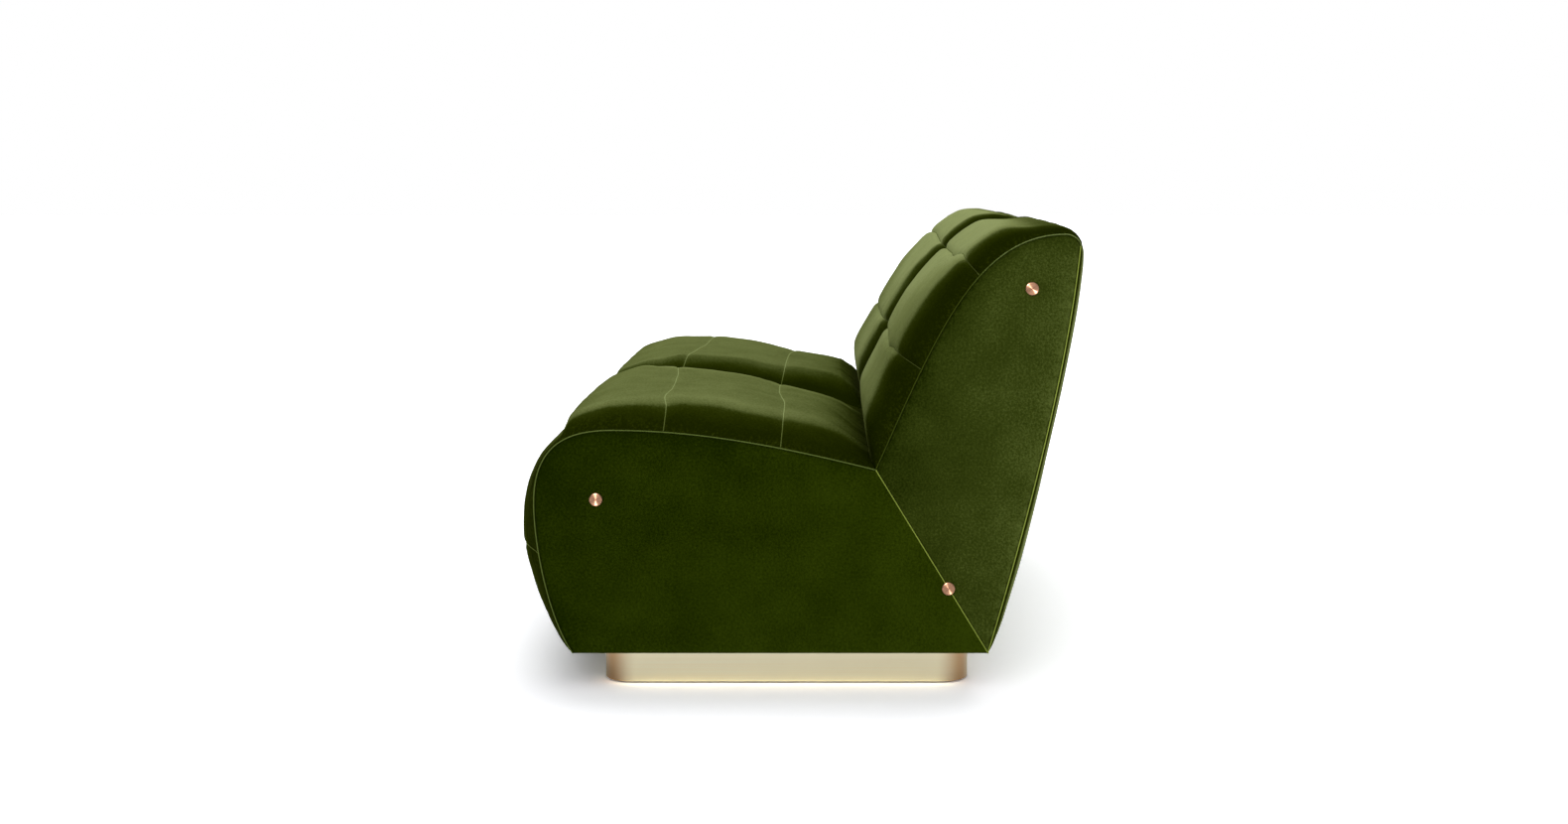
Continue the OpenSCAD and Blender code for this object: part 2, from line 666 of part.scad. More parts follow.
module back_piping_right() { color(piping_green) mirror([1, 0, 0]) piping(back_pipe_frames); }
outside_n = 20;
outside_square = 9;
function outside_rise(v) = sqrt(max(0, 1 - pow(abs(v), outside_square)));
module outside_back_panel() {
    color(velvet) loft([for (f = rear_frames) concat(
        [for (j = [0:outside_n]) let (
            v = -cos(180 * j / outside_n),
            p = f[0] + along(rear_crowns, f[2]) * outside_rise(v) * f[1])
            [cushion_w * v, nose_y + p[0], p[1]]],
        [for (v = [1, -1]) let (p = f[0] - outside_t * f[1]) [cushion_w * v, nose_y + p[0], p[1]]])]);
}

// Fasteners and buttons
module block_bolts() {
    grip = 2 * rail_t + soft_gap;
    color(steel) for (x = bolt_xs) translate([x, 0, 0]) on_joint(bolt_drop)
        translate([0, -rail_t, 0]) rotate([-90, 0, 0]) {
            translate([0, 0, -head_t]) cylinder(d = head_w, h = head_t, $fn = 48);
            cylinder(d = bolt_d, h = grip + nut_t + bolt_out, $fn = 32);
            translate([0, 0, grip]) cylinder(d = nut_w, h = nut_t, $fn = 6);
        }
}
button_dish = 1;
button_edge = 1.2;
module side_buttons() {
    r = button_d / 2;
    color(copper) both_sides() translate([half_w, 0, 0]) at_buttons()
        rotate_extrude($fn = 72) polygon([[0, 0], [r, 0], [r, button_h - button_edge],
            [r - button_edge, button_h], [r - 2 * button_edge, button_h],
            [r / 3, button_h - button_dish], [0, button_h - button_dish]]);
}
stud_out = 3;
module button_studs() {
    len = panel_t + rib_t + nut_t + stud_out;
    color(steel) both_sides() translate([half_w - len, 0, 0]) at_buttons()
        cylinder(d = stud_d, h = len, $fn = 32);
}
module button_nuts() {
    color(steel) both_sides() translate([outer_rib_x - nut_t, 0, 0]) at_buttons() difference() {
        cylinder(d = 2 * stud_d, h = nut_t, $fn = 6);
        translate([0, 0, -over]) cylinder(d = stud_d, h = nut_t + 2 * over, $fn = 32);
    }
}

plinth_shell();
plinth_frame();
plinth_top_board();
plinth_base_board();
floor_glides();
plinth_bolts();
dust_cover();
seat_bottom_boards();
seat_rib_left();
seat_rib_centre();
seat_rib_right();
seat_front_boards();
seat_nose_rails();
seat_rear_rails();
corner_blocks();
seat_webbing();
seat_foam_left();
seat_foam_right();
seat_cushion_left();
seat_cushion_right();
seat_side_panel_left();
seat_side_panel_right();
seat_piping_left();
seat_piping_right();
back_rib_left();
back_rib_centre();
back_rib_right();
back_top_rails();
back_mid_rails();
back_lower_rails();
back_webbing();
back_foam_left();
back_foam_right();
back_cushion_left();
back_cushion_right();
back_side_panel_left();
back_side_panel_right();
back_piping_left();
back_piping_right();
outside_back_panel();
block_bolts();
side_buttons();
button_studs();
button_nuts();
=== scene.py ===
"""Looks of an armless two-seat loveseat: ridged velvet cushions over two bays, velvet side panels with
piping, turned copper buttons and a satin brass plinth. Lengths are in metres, in the part's own frame:
+X is the sitter's left, the front faces -Y and Z is up. Points in the side view are (distance behind
the nose, height over the floor)."""

import json
import math

import bpy
import numpy as np
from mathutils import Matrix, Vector
from mathutils.geometry import delaunay_2d_cdt


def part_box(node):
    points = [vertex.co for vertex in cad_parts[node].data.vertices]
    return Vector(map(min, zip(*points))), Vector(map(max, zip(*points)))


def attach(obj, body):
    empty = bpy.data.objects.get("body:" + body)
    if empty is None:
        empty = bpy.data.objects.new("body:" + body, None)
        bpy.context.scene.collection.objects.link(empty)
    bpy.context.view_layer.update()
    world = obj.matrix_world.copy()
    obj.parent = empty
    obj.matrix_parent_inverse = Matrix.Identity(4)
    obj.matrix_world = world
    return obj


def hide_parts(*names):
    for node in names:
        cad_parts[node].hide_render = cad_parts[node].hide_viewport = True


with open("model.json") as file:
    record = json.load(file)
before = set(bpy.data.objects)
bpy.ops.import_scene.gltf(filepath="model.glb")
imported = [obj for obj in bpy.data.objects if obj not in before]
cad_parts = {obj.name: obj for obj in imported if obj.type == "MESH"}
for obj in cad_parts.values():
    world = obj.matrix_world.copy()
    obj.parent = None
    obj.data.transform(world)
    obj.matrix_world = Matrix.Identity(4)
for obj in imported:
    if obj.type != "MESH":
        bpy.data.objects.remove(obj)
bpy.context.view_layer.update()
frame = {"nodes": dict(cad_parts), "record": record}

# Corners of the side view, as in the solids
TOE = np.array([0.062, 0.065])
NOSE = np.array([0.0, 0.320])
CREST = np.array([0.135, 0.449])
FOLD = np.array([0.577, 0.382])
HEEL = np.array([0.770, 0.065])
TOP = np.array([0.892, 0.777])
EDGE = np.array([0.918, 0.757])

# Widths and thicknesses, as in the solids
HALF_W = 0.750
PANEL_T = 0.005
PIPE_INSET = 0.005
BAY_GAP = 0.00015
CUSHION_X = HALF_W - PANEL_T
NOSE_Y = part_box("seat_side_panel_left")[0].y - PIPE_INSET

# Seams: lengths along the seat line and the back line
LOW_SEAM, FRONT_SEAM, REAR_SEAM = 0.183, 0.567, 0.766
BACK_SEAM, UPPER_SEAM = 0.185, 0.370

# Crown of the cushions over the seams: (length along the line, height)
SEAT_CROWN = [(0, 0.040), (0.090, 0.0448), (0.182, 0.048), (0.240, 0.0423), (0.280, 0.0331),
              (0.310, 0.0236), (0.335, 0.016), (0.355, 0.010), (0.380, 0.0062), (0.396, 0.017),
              (0.410, 0.0285), (0.440, 0.0345), (0.480, 0.0444), (0.520, 0.0482), (0.570, 0.0505),
              (0.640, 0.0513), (0.766, 0.0462), (0.820, 0.045), (0.850, 0.042), (0.880, 0.0355),
              (0.905, 0.026), (0.930, 0.0134)]
BACK_CROWN = [(0, 0.0156), (0.020, 0.038), (0.050, 0.053), (0.090, 0.057), (0.150, 0.054), (0.260, 0.051),
              (0.369, 0.038), (0.440, 0.033), (0.480, 0.018), (0.506, 0.0104), (0.530, 0.0088),
              (0.550, 0.0078), (0.566, 0.0068)]

# Crown of the outside back, at its middle and at its side edges: (length down the rear line, height)
REAR_CROWN = [(0, 0.0068), (0.040, 0.009), (0.142, 0.013), (0.530, 0.013), (0.640, 0.006), (0.710, 0)]
REAR_EDGE_CROWN = [(0, 0.0025), (0.012, 0.008), (0.040, 0.010), (0.150, 0.0085), (0.240, 0.007),
                   (0.330, 0.007), (0.420, 0.0095), (0.550, 0.0115), (0.640, 0.0115), (0.690, 0.006),
                   (0.710, 0)]

# Sway of the cross seams towards the front or down: (place across the body, distance)
FRONT_SWAY = [(-0.745, 0), (-0.520, 0), (-0.372, 0.002), (-0.250, 0.012), (-0.100, 0.028), (0, 0.030),
              (0.150, 0.024), (0.300, 0.013), (0.372, 0.010), (0.450, 0.007), (0.530, 0.006), (0.580, 0.010),
              (0.610, 0.011), (0.650, 0.005), (0.745, 0)]
REAR_SWAY = [(-0.745, 0), (-0.560, 0.012), (-0.372, 0.022), (-0.200, 0.024), (0, 0.024), (0.200, 0.024),
             (0.330, 0.022), (0.400, 0.0165), (0.480, 0.0085), (0.580, 0.006), (0.660, 0.003), (0.745, 0)]
BACK_SWAY = [(-0.745, 0), (0.300, 0), (0.372, 0.003), (0.440, 0.008), (0.500, 0.004), (0.560, 0),
             (0.745, 0)]
UPPER_SWAY = [(-0.745, 0), (-0.560, -0.008), (-0.372, -0.011), (-0.200, -0.006), (0, 0), (0.372, 0.001),
              (0.430, 0.003), (0.490, -0.001), (0.550, -0.009), (0.620, -0.005), (0.745, 0)]

# What the filling adds to the crown of one bay, by its side: (length along the line, height)
SEAT_FILLING = {
    1: [(0, 0), (0.380, 0), (0.420, 0.004), (0.460, 0.004), (0.520, 0), (0.930, 0)],
    -1: [(0, 0), (0.400, 0), (0.450, -0.003), (0.520, -0.003), (0.600, 0), (0.760, 0), (0.800, 0.004),
         (0.840, 0.008), (0.870, 0.012), (0.900, 0.018), (0.920, 0.018), (0.930, 0)],
}
BACK_FILLING = {
    1: [(0, 0), (0.450, 0), (0.485, -0.002), (0.506, 0.001), (0.530, 0.0025), (0.550, 0.002), (0.566, 0.001)],
    -1: [(0, 0), (0.030, 0.007), (0.080, 0.0082), (0.140, 0.0075), (0.200, 0.005), (0.280, 0.003),
         (0.430, 0.003), (0.480, 0.005), (0.506, 0.001), (0.530, -0.006), (0.550, -0.004), (0.566, 0)],
}

# Distance of the ridges from the long edges of a cushion: (length along the line, distance)
SEAT_RIDGE = [(0, 0.135), (0.300, 0.120), (0.345, 0.112), (0.385, 0.106), (0.430, 0.090), (0.480, 0.094),
              (0.520, 0.120), (0.600, 0.145), (0.700, 0.160), (0.790, 0.190), (0.850, 0.190),
              (0.900, 0.160), (0.930, 0.125)]
BACK_RIDGE = [(0, 0.110), (0.080, 0.140), (0.120, 0.165), (0.160, 0.190), (0.300, 0.195), (0.370, 0.215),
              (0.500, 0.215), (0.535, 0.150), (0.567, 0.080)]
BACK_INNER_RIDGE = [(0, 0.120), (0.100, 0.155), (0.567, 0.160)]


# Small sums
def unit(v):
    return v / np.linalg.norm(v, axis=-1, keepdims=True)


def left_of(v):
    return np.stack([-v[..., 1], v[..., 0]], -1)


def soft_step(t):
    t = np.clip(t, 0, 1)
    return t * t * (3 - 2 * t)


def ease(x, start, length):
    """Rises gently from 0 at start to 1 a length further on."""
    return soft_step((x - start) / length)


def toward(degrees):
    return np.array([math.cos(math.radians(degrees)), math.sin(math.radians(degrees))])


def run(a, b):
    return np.linalg.norm(b - a)


def bezier(a, b, c, d, count=160):
    t = np.linspace(0, 1, count)[:, None]
    return a * (1 - t) ** 3 + 3 * b * t * (1 - t) ** 2 + 3 * c * t * t * (1 - t) + d * t ** 3


NORMAL_REACH = 0.004


class Line:
    """A smooth line in the side view, read by the length along it. Its outer side is on the left."""

    def __init__(self, *curves):
        self.points = np.vstack([curves[0]] + [c[1:] for c in curves[1:]])
        steps = np.linalg.norm(np.diff(self.points, axis=0), axis=1)
        self.s = np.r_[0, np.cumsum(steps)]
        self.length = self.s[-1]

    def at(self, s):
        return np.stack([np.interp(s, self.s, self.points[:, i]) for i in (0, 1)], -1)

    def normal(self, s):
        ahead = self.at(np.minimum(self.length, s + NORMAL_REACH))
        return left_of(unit(ahead - self.at(np.maximum(0, s - NORMAL_REACH))))

    def way_out(self, s, start, end):
        """Way out for a unit of height. start and end are the ways of the cut planes and how long the way
        takes to turn into them."""
        n = self.normal(s)
        w = soft_step(1 - s / start[1])[..., None]
        d = (1 - w) * n + w * np.array(start[0])
        w = soft_step(1 - (self.length - s) / end[1])[..., None]
        d = unit((1 - w) * d + w * np.array(end[0]))
        return d / np.sum(d * n, -1, keepdims=True)


joint_up = unit(FOLD - HEEL)
seat_line = Line(
    bezier(TOE, TOE + 0.24 * run(TOE, NOSE) * toward(125), NOSE - [0, 0.31 * run(TOE, NOSE)], NOSE),
    bezier(NOSE, NOSE + [0, 0.87 * (CREST[1] - NOSE[1])], CREST - [0.5 * CREST[0], 0], CREST),
    bezier(CREST, CREST + [0.34 * run(CREST, FOLD), 0], FOLD + 0.34 * run(CREST, FOLD) * toward(166), FOLD))
back_line = Line(
    bezier(FOLD, FOLD + 0.48 * run(FOLD, TOP) * toward(66), TOP - [0.3 * run(FOLD, TOP), 0], TOP),
    bezier(TOP, TOP + [0.5 * (EDGE[0] - TOP[0]), 0], EDGE + [0, 0.5 * (TOP[1] - EDGE[1])], EDGE, 24))
rear_line = Line(
    bezier(EDGE, EDGE + 0.3 * run(EDGE, HEEL) * toward(265), HEEL + 0.3 * run(EDGE, HEEL) * toward(74), HEEL))
edge_out = unit(back_line.normal(back_line.length) + rear_line.normal(0.0))

# The cut planes at the two ends of each line: (way in the side view, length of the turn)
SEAT_ENDS = (((-1.0, 0.0), 0.110), (joint_up, 0.110))
BACK_ENDS = ((joint_up, 0.110), (edge_out, 0.012))
REAR_ENDS = ((edge_out, 0.012), (-joint_up, 0.110))


def read_table(table, s):
    """Value read from a table by a smooth line through its points that never goes past them."""
    x, y = np.array(table, float).T
    step = np.diff(x)
    slope = np.diff(y) / step
    before, after = slope[:-1], slope[1:]
    same_way = before * after > 0
    total = np.where(same_way, before + after, 1)
    tangent = np.r_[slope[0], np.where(same_way, 2 * before * after / total, 0), slope[-1]]
    i = np.clip(np.searchsorted(x, s) - 1, 0, len(step) - 1)
    u = np.clip((s - x[i]) / step[i], 0, 1)
    bend = step[i] * u * (1 - u) * (tangent[i] * (1 - u) - tangent[i + 1] * u)
    return y[i] + (y[i + 1] - y[i]) * soft_step(u) + bend


def waves(x, spacing, seed):
    """Smooth random waves between -1 and 1, with a new value every spacing."""
    values = np.random.default_rng(seed).uniform(-1, 1, 2048)
    u = np.asarray(x) / spacing + 512
    i = np.floor(u).astype(int)
    f = soft_step(u - i)
    return values[i % 2048] * (1 - f) + values[(i + 1) % 2048] * f


def patches(x, y, spacing, seed):
    """Smooth random hills between -1 and 1 over a plane."""
    values = np.random.default_rng(seed).uniform(-1, 1, (128, 128))
    u, v = np.asarray(x) / spacing + 32, np.asarray(y) / spacing + 32
    i, j = np.floor(u).astype(int), np.floor(v).astype(int)
    f, g = soft_step(u - i), soft_step(v - j)
    near = values[i % 128, j % 128] * (1 - f) + values[(i + 1) % 128, j % 128] * f
    far = values[i % 128, (j + 1) % 128] * (1 - f) + values[(i + 1) % 128, (j + 1) % 128] * f
    return near * (1 - g) + far * g


# Objects
def add_object(name, data):
    obj = bpy.data.objects.new(name, data)
    bpy.context.scene.collection.objects.link(obj)
    return obj


def make_object(name, verts, faces, material=None, smooth=True):
    mesh = bpy.data.meshes.new(name)
    mesh.from_pydata([tuple(map(float, v)) for v in verts], [], faces)
    mesh.validate()
    mesh.update()
    if smooth:
        mesh.polygons.foreach_set("use_smooth", [True] * len(mesh.polygons))
    if material:
        mesh.materials.append(material)
    return add_object(name, mesh)


def sleeve_faces(rows, width):
    """Faces of a closed sleeve of rows rings, each of width points, with a cap at both ends."""
    faces = [(i * width + j, i * width + j + 1, (i + 1) * width + j + 1, (i + 1) * width + j)
             for i in range(rows - 1) for j in range(width - 1)]
    faces += [(i * width + width - 1, i * width, (i + 1) * width, (i + 1) * width + width - 1)
              for i in range(rows - 1)]
    faces.append(tuple(reversed(range(width))))
    faces.append(tuple((rows - 1) * width + j for j in range(width)))
    return faces


def facing_out(faces, side):
    """The faces, turned over on the side that is a mirror image."""
    return faces if side > 0 else [tuple(reversed(f)) for f in faces]


def to_space(side, x, side_view):
    """Points in space from X and side-view points. side is 1 on the sitter's left and -1 on the right."""
    x = np.broadcast_to(x, side_view.shape[:-1])
    return np.stack([side * x, NOSE_Y + side_view[..., 0], side_view[..., 1]], -1)


# Form of a cushion
class Form:
    """What sets a cushion apart: its line and ends, and the tables and shares given by name."""

    def __init__(self, line, ends, **more):
        self.line, self.ends = line, ends
        self.__dict__.update(more)


SPAN = (CUSHION_X - BAY_GAP) / 2
COVER_T = 0.010
# shine scales the painted light along the line, and rim and rim_from give a painted highlight along one crest
# of each bay and the length from which it starts
SEAT = Form(seat_line, SEAT_ENDS, crowns=SEAT_CROWN, seams=(LOW_SEAM, FRONT_SEAM, REAR_SEAM),
            ridge=SEAT_RIDGE, inner_ridge=SEAT_RIDGE, share=0.90, straight=0.87, filling=SEAT_FILLING,
            dip=0.0022, rim=0.16, rim_from=0.41,
            sways=((FRONT_SEAM, FRONT_SWAY), (REAR_SEAM, REAR_SWAY)),
            shine=[(0, 0.42), (0.30, 0.42), (0.36, 0.55), (0.41, 0.84), (0.46, 0.96), (0.62, 0.95),
                   (0.70, 0.92), (0.80, 0.86), (0.86, 0.68), (0.93, 0.45)])
BACK = Form(back_line, BACK_ENDS, crowns=BACK_CROWN, seams=(BACK_SEAM, UPPER_SEAM),
            ridge=BACK_RIDGE, inner_ridge=BACK_INNER_RIDGE, share=0.97, straight=0.20, filling=BACK_FILLING,
            dip=0.007, rim=0.12, rim_from=0,
            sways=((BACK_SEAM, BACK_SWAY), (UPPER_SEAM, UPPER_SWAY)),
            shine=[(0, 0.50), (0.02, 0.70), (0.06, 0.94), (0.12, 0.96), (0.20, 0.92), (0.32, 1.12),
                   (0.38, 1.36), (0.44, 1.32), (0.48, 0.96), (0.52, 0.52), (0.57, 0.48)])

# How softly a side band turns into the face at the ridge
RIDGE_SOFT = 0.035


def from_edge(v):
    """Distance of a place across a bay from the nearer of the bay's long edges."""
    return (1 - np.abs(v)) * SPAN


def edge_rise(t, ridge, form):
    """Share of the crown at a distance t from a long edge: a side band up to the ridge and then a flatter
    face."""
    u = np.clip(t / ridge, 0, 1)
    band = form.share * ((1 - form.straight) * (1 - (1 - u) ** 3) + form.straight * t / ridge)
    face = 1 - (1 - form.share) * (1 - (t - ridge) / (SPAN - ridge)) ** 2
    return 0.5 * (band + face - np.sqrt((band - face) ** 2 + RIDGE_SOFT ** 2))


def ridge_at(s, v, form):
    return np.where(v > 0, read_table(form.ridge, s), read_table(form.inner_ridge, s))


def cross_section(s, v, form):
    """Share of the crown across a bay, from the channel at v = -1 to the piping at v = 1."""
    reach = ridge_at(s, v, form)
    low, high = edge_rise(0, reach, form), edge_rise(SPAN, reach, form)
    return (edge_rise(from_edge(v), reach, form) - low) / (high - low)


# Grid of the finished covers: the step along the line, the cells across a bay and the rows beside a seam
FINE_STEP, FINE_ACROSS = 0.0034, 144
BESIDE_SEAM = (0.0012, 0.0028, 0.005, 0.008, 0.012)


def stations(form, step, beside=()):
    """Lengths along the line, a step apart, and on both sides of each seam at the distances in beside."""
    offsets = np.array([0.0, *beside])
    close = [q + o for q in form.seams for o in np.r_[-offsets[1:], offsets]]
    limit = offsets[-1] + 0.4 * step
    kept = [s for s in np.arange(0, form.line.length, step) if all(abs(s - q) > limit for q in form.seams)]
    return np.array(sorted(kept + close + [form.line.length]))


def across(count):
    """Places from -1 to 1 across a bay, closer together at the edges."""
    j = np.arange(count + 1) / count
    return 0.25 * (2 * j - 1) - 0.75 * np.cos(math.pi * j)


# How far beside a seam the cover is drawn in, and from what distance to an edge and what crown fully so
SEAM_WIDTH = 0.006
FULL_DIP_FROM, FULL_DIP_CROWN = 0.030, 0.030


def seam_dips(s, v, form):
    """How far the cross seams draw the cover in, as a positive depth."""
    near = sum(np.exp(-np.abs(s - q) / SEAM_WIDTH) for q in form.seams)
    crown = np.clip(read_table(form.crowns, s) / FULL_DIP_CROWN, 0, 1)
    return form.dip * near * soft_step(from_edge(v) / FULL_DIP_FROM) * crown


# Depths of the folds at the piping and at the joint, and how far the latter reach
PUCKER_H, CREASE_H = 0.0022, 0.003
SEAT_CREASES, BACK_CREASES = 0.060, 0.030


def puckers(s, v, form, side):
    """Fine folds that the piping gathers, between 0 and 1."""
    t = (1 - v) * SPAN
    seed = (11 if form is SEAT else 23) + (0 if side > 0 else 5)
    lean = s + 0.25 * t * waves(s, 0.08, seed)
    fine = np.abs(0.7 * waves(lean, 0.009, seed + 1) + 0.3 * waves(lean, 0.017, seed + 2))
    strength = np.clip(0.55 + 0.6 * waves(s, 0.060, seed + 3), 0, 1)
    reach = 0.016 + 0.012 * waves(s, 0.035, seed + 4)
    return (1 - fine) ** 5 * strength * soft_step(t / 0.003) * np.exp(-(t / reach) ** 2)


def creases(s, v, form, side):
    """Folds between 0 and 1 where the seat and the back press on each other."""
    x = v * SPAN
    seed = 41 if side > 0 else 47
    if form is SEAT:
        rest = form.line.length - s
        drift = x + 0.30 * rest
        folds = (1 - np.abs(waves(drift, 0.026, seed))) ** 5
        folds = folds + 0.6 * (1 - np.abs(waves(drift, 0.017, seed + 1))) ** 5
        return np.clip(folds, 0, 1) * np.exp(-(rest / SEAT_CREASES) ** 2) * ease(v, -0.9, 0.5)
    folds = (1 - np.abs(waves(x + 0.2 * s, 0.030, seed + 2))) ** 5
    return folds * np.exp(-(s / BACK_CREASES) ** 2)


def unevenness(s, v, form, side):
    """Broad and small swells of the filling, as a height."""
    seed = (61 if form is SEAT else 67) + (0 if side > 0 else 3)
    broad = 0.0008 * patches(s, v * SPAN, 0.060, seed)
    return cross_section(s, v, form) * (broad + 0.0004 * patches(s, v * SPAN, 0.022, seed + 1))


# How far beside a seam its sway moves the cover, and the height of the channel's bottom
SWAY_REACH = 0.060
CHANNEL_H = 0.007


def seam_sway(s, v, form, side):
    """How far a cross seam strays towards the start of the line."""
    across_body = side * (BAY_GAP + SPAN * (1 + v))
    return sum(np.exp(-((s - q) / SWAY_REACH) ** 2) * read_table(table, across_body)
               for q, table in form.sways)


def cover(form, side, s, v, height):
    """The cover's points over a grid of s and v, at that height over the line."""
    real_s = np.clip(s - seam_sway(s, v, form, side), 0, form.line.length)
    out = form.line.way_out(real_s, *form.ends)
    side_view = form.line.at(real_s) + height[..., None] * out
    return to_space(side, BAY_GAP + SPAN * (1 + v), side_view)


def base_height(form, side, s, v):
    """The crown, and the bottom of the channel between the bays."""
    full = read_table(form.crowns, s) + read_table(form.filling[side], s)
    share = cross_section(s, v, form)
    channel = np.where(v < 0, np.minimum(CHANNEL_H, full) * (1 - share), 0)
    return full * share + channel


def closed_cushion(form, side, s, v, height):
    """Points and faces of the whole cushion: the cover on top and a plain underside."""
    upper = cover(form, side, s, v, height)
    ends = v[:, [-1, 0]]
    lower = cover(form, side, s[:, [-1, 0]], ends, np.full(ends.shape, -COVER_T))
    ring = np.concatenate([upper, lower], axis=1)
    return ring.reshape(-1, 3), facing_out(sleeve_faces(*ring.shape[:2]), side)


def with_underside(grid, value):
    """A grid over a cover, with one value added for the two rows of points of the underside."""
    return np.pad(grid, ((0, 0), (0, 2)), constant_values=value)


# The cloth's grid and how long it moves, and how far from a seam the gathers reach and how high they get
CLOTH_STEP, CLOTH_ACROSS = 0.007, 72
CLOTH_FRAMES = 20
GATHER_REACH, GATHER_CAP = 0.035, 0.0025
EVENING_PASSES = 25


def evened(grid, axis):
    """The grid with its short waves along one axis taken out."""
    grid = np.moveaxis(grid, axis, 0)
    for _ in range(EVENING_PASSES):
        padded = np.concatenate([grid[:1], grid, grid[-1:]])
        grid = (padded[:-2] + 2 * padded[1:-1] + padded[2:]) / 4
    return np.moveaxis(grid, 0, axis)


def blown_up(obj, held):
    """Blows a closed object up as cloth, with the held points pinned, and returns where its points end up."""
    group = obj.vertex_groups.new(name="held")
    group.add([int(i) for i in np.flatnonzero(held)], 1.0, "REPLACE")
    modifier = obj.modifiers.new("Cloth", "CLOTH")
    cloth = modifier.settings
    cloth.quality = 5
    cloth.mass = 0.3
    cloth.tension_stiffness = cloth.compression_stiffness = 15
    cloth.shear_stiffness = 5
    cloth.bending_stiffness = 0.5
    cloth.use_pressure = True
    cloth.uniform_pressure_force = 4
    cloth.effector_weights.gravity = 0
    cloth.vertex_group_mass = "held"
    cloth.shrink_min = -0.015
    modifier.point_cache.frame_start = 1
    modifier.point_cache.frame_end = CLOTH_FRAMES
    for number in range(1, CLOTH_FRAMES + 1):
        bpy.context.scene.frame_set(number)
    evaluated = obj.evaluated_get(bpy.context.evaluated_depsgraph_get())
    points = np.array([p.co for p in evaluated.data.vertices], float)
    bpy.context.scene.frame_set(1)
    bpy.data.objects.remove(obj)
    return points


def simulated_gathers(form, side):
    """Simulates the cover as cloth between its pinned seams, and returns the small folds this gives: the
    lengths along the line, the places across and the grid of heights."""
    s_row, v_row = stations(form, CLOTH_STEP), across(CLOTH_ACROSS)
    s, v = np.meshgrid(s_row, v_row, indexing="ij")
    height = base_height(form, side, s, v) - 0.6 * seam_dips(s, v, form)
    verts, faces = closed_cushion(form, side, s, v, height)
    obj = make_object("cloth_trial", verts, faces)
    inner = np.zeros(s.shape, bool)
    inner[1:-1, 1:-1] = True
    for q in form.seams:
        inner[np.argmin(np.abs(s_row - q))] = False
    held = with_underside(~inner, True)
    moved = (blown_up(obj, held) - verts).reshape(*held.shape, 3)[:, :len(v_row)]
    out = form.line.way_out(s_row, *form.ends)
    way = unit(np.stack([np.zeros(len(s_row)), out[:, 0], out[:, 1]], -1))
    gain = np.einsum("ijk,ik->ij", moved, way)
    near_seam = sum(np.exp(-np.abs(s - q) / GATHER_REACH) for q in form.seams)
    near_edge = np.exp(-from_edge(v) / GATHER_REACH) * (1 - np.minimum(near_seam, 1))
    folds = (gain - evened(gain, 1)) * near_seam + (gain - evened(gain, 0)) * near_edge
    return s_row, v_row, np.clip(folds, -GATHER_CAP, GATHER_CAP)


def read_grid(rows, cols, values, s, v):
    """Values of a coarse grid at finer places, by straight lines between its points."""
    i = np.clip(np.searchsorted(rows, s) - 1, 0, len(rows) - 2)
    j = np.clip(np.searchsorted(cols, v) - 1, 0, len(cols) - 2)
    f, g = (s - rows[i]) / (rows[i + 1] - rows[i]), (v - cols[j]) / (cols[j + 1] - cols[j])
    near = values[i, j] * (1 - f) + values[i + 1, j] * f
    far = values[i, j + 1] * (1 - f) + values[i + 1, j + 1] * f
    return near * (1 - g) + far * g


# Length at both ends of a line over which the cover turns to its plain height
HELD_END = 0.006


def cushion_height(form, side, s, v, gathers):
    """The height of the finished cover over the line."""
    height = base_height(form, side, s, v) - seam_dips(s, v, form)
    if gathers:
        height = height + read_grid(*gathers, s, v)
    height = height - PUCKER_H * puckers(s, v, form, side) - CREASE_H * creases(s, v, form, side)
    height = height + unevenness(s, v, form, side)
    held = soft_step(s / HELD_END) * soft_step((form.line.length - s) / HELD_END)
    return base_height(form, side, s, v) * (1 - held) + height * held


# Scale of the painted sheen and shade, width of the painted highlight along the seams, and how much lighter
# the seam threads are painted as a highlight
PAINTED_SHADING_SCALE = 0.78
SEAM_HIGHLIGHT_WIDTH = 0.004
SEAM_HIGHLIGHT = 0.24


def seat_light(u, v):
    """Painted sheen and shade of the seat: dark side bands, lighter ridges and faces. u is the distance from
    the nearer long edge over the ridge's.
    """
    inside = 0.02 + 0.73 * np.clip((u - 0.30) / 0.70, 0, 1)
    outside = 0.02 + 0.60 * np.minimum(u, 1) ** 1.5 + 0.34 * ease(u, 0.64, 0.16)
    band = np.where(v > 0, outside, inside)
    face = 0.84 + 0.07 * np.exp(-np.clip(u - 1, 0, 2) / 0.2)
    return band + (face - band) * ease(u, 0.90, 0.14)


def back_light(u, v, s):
    """Painted sheen and shade of the back, with painted shade in the dark corner at the top rear."""
    light = 0.015 + 0.655 * ease(u, 0.08, 0.88) ** 1.1 + 0.26 * ease(u, 0.52, 0.18)
    light = light * (1 + 0.36 * soft_step((0.6 - v) / 1.2))
    return light * (1 - 0.9 * ease(s, 0.515, 0.020) * ease(v, 0.92, 0.04))


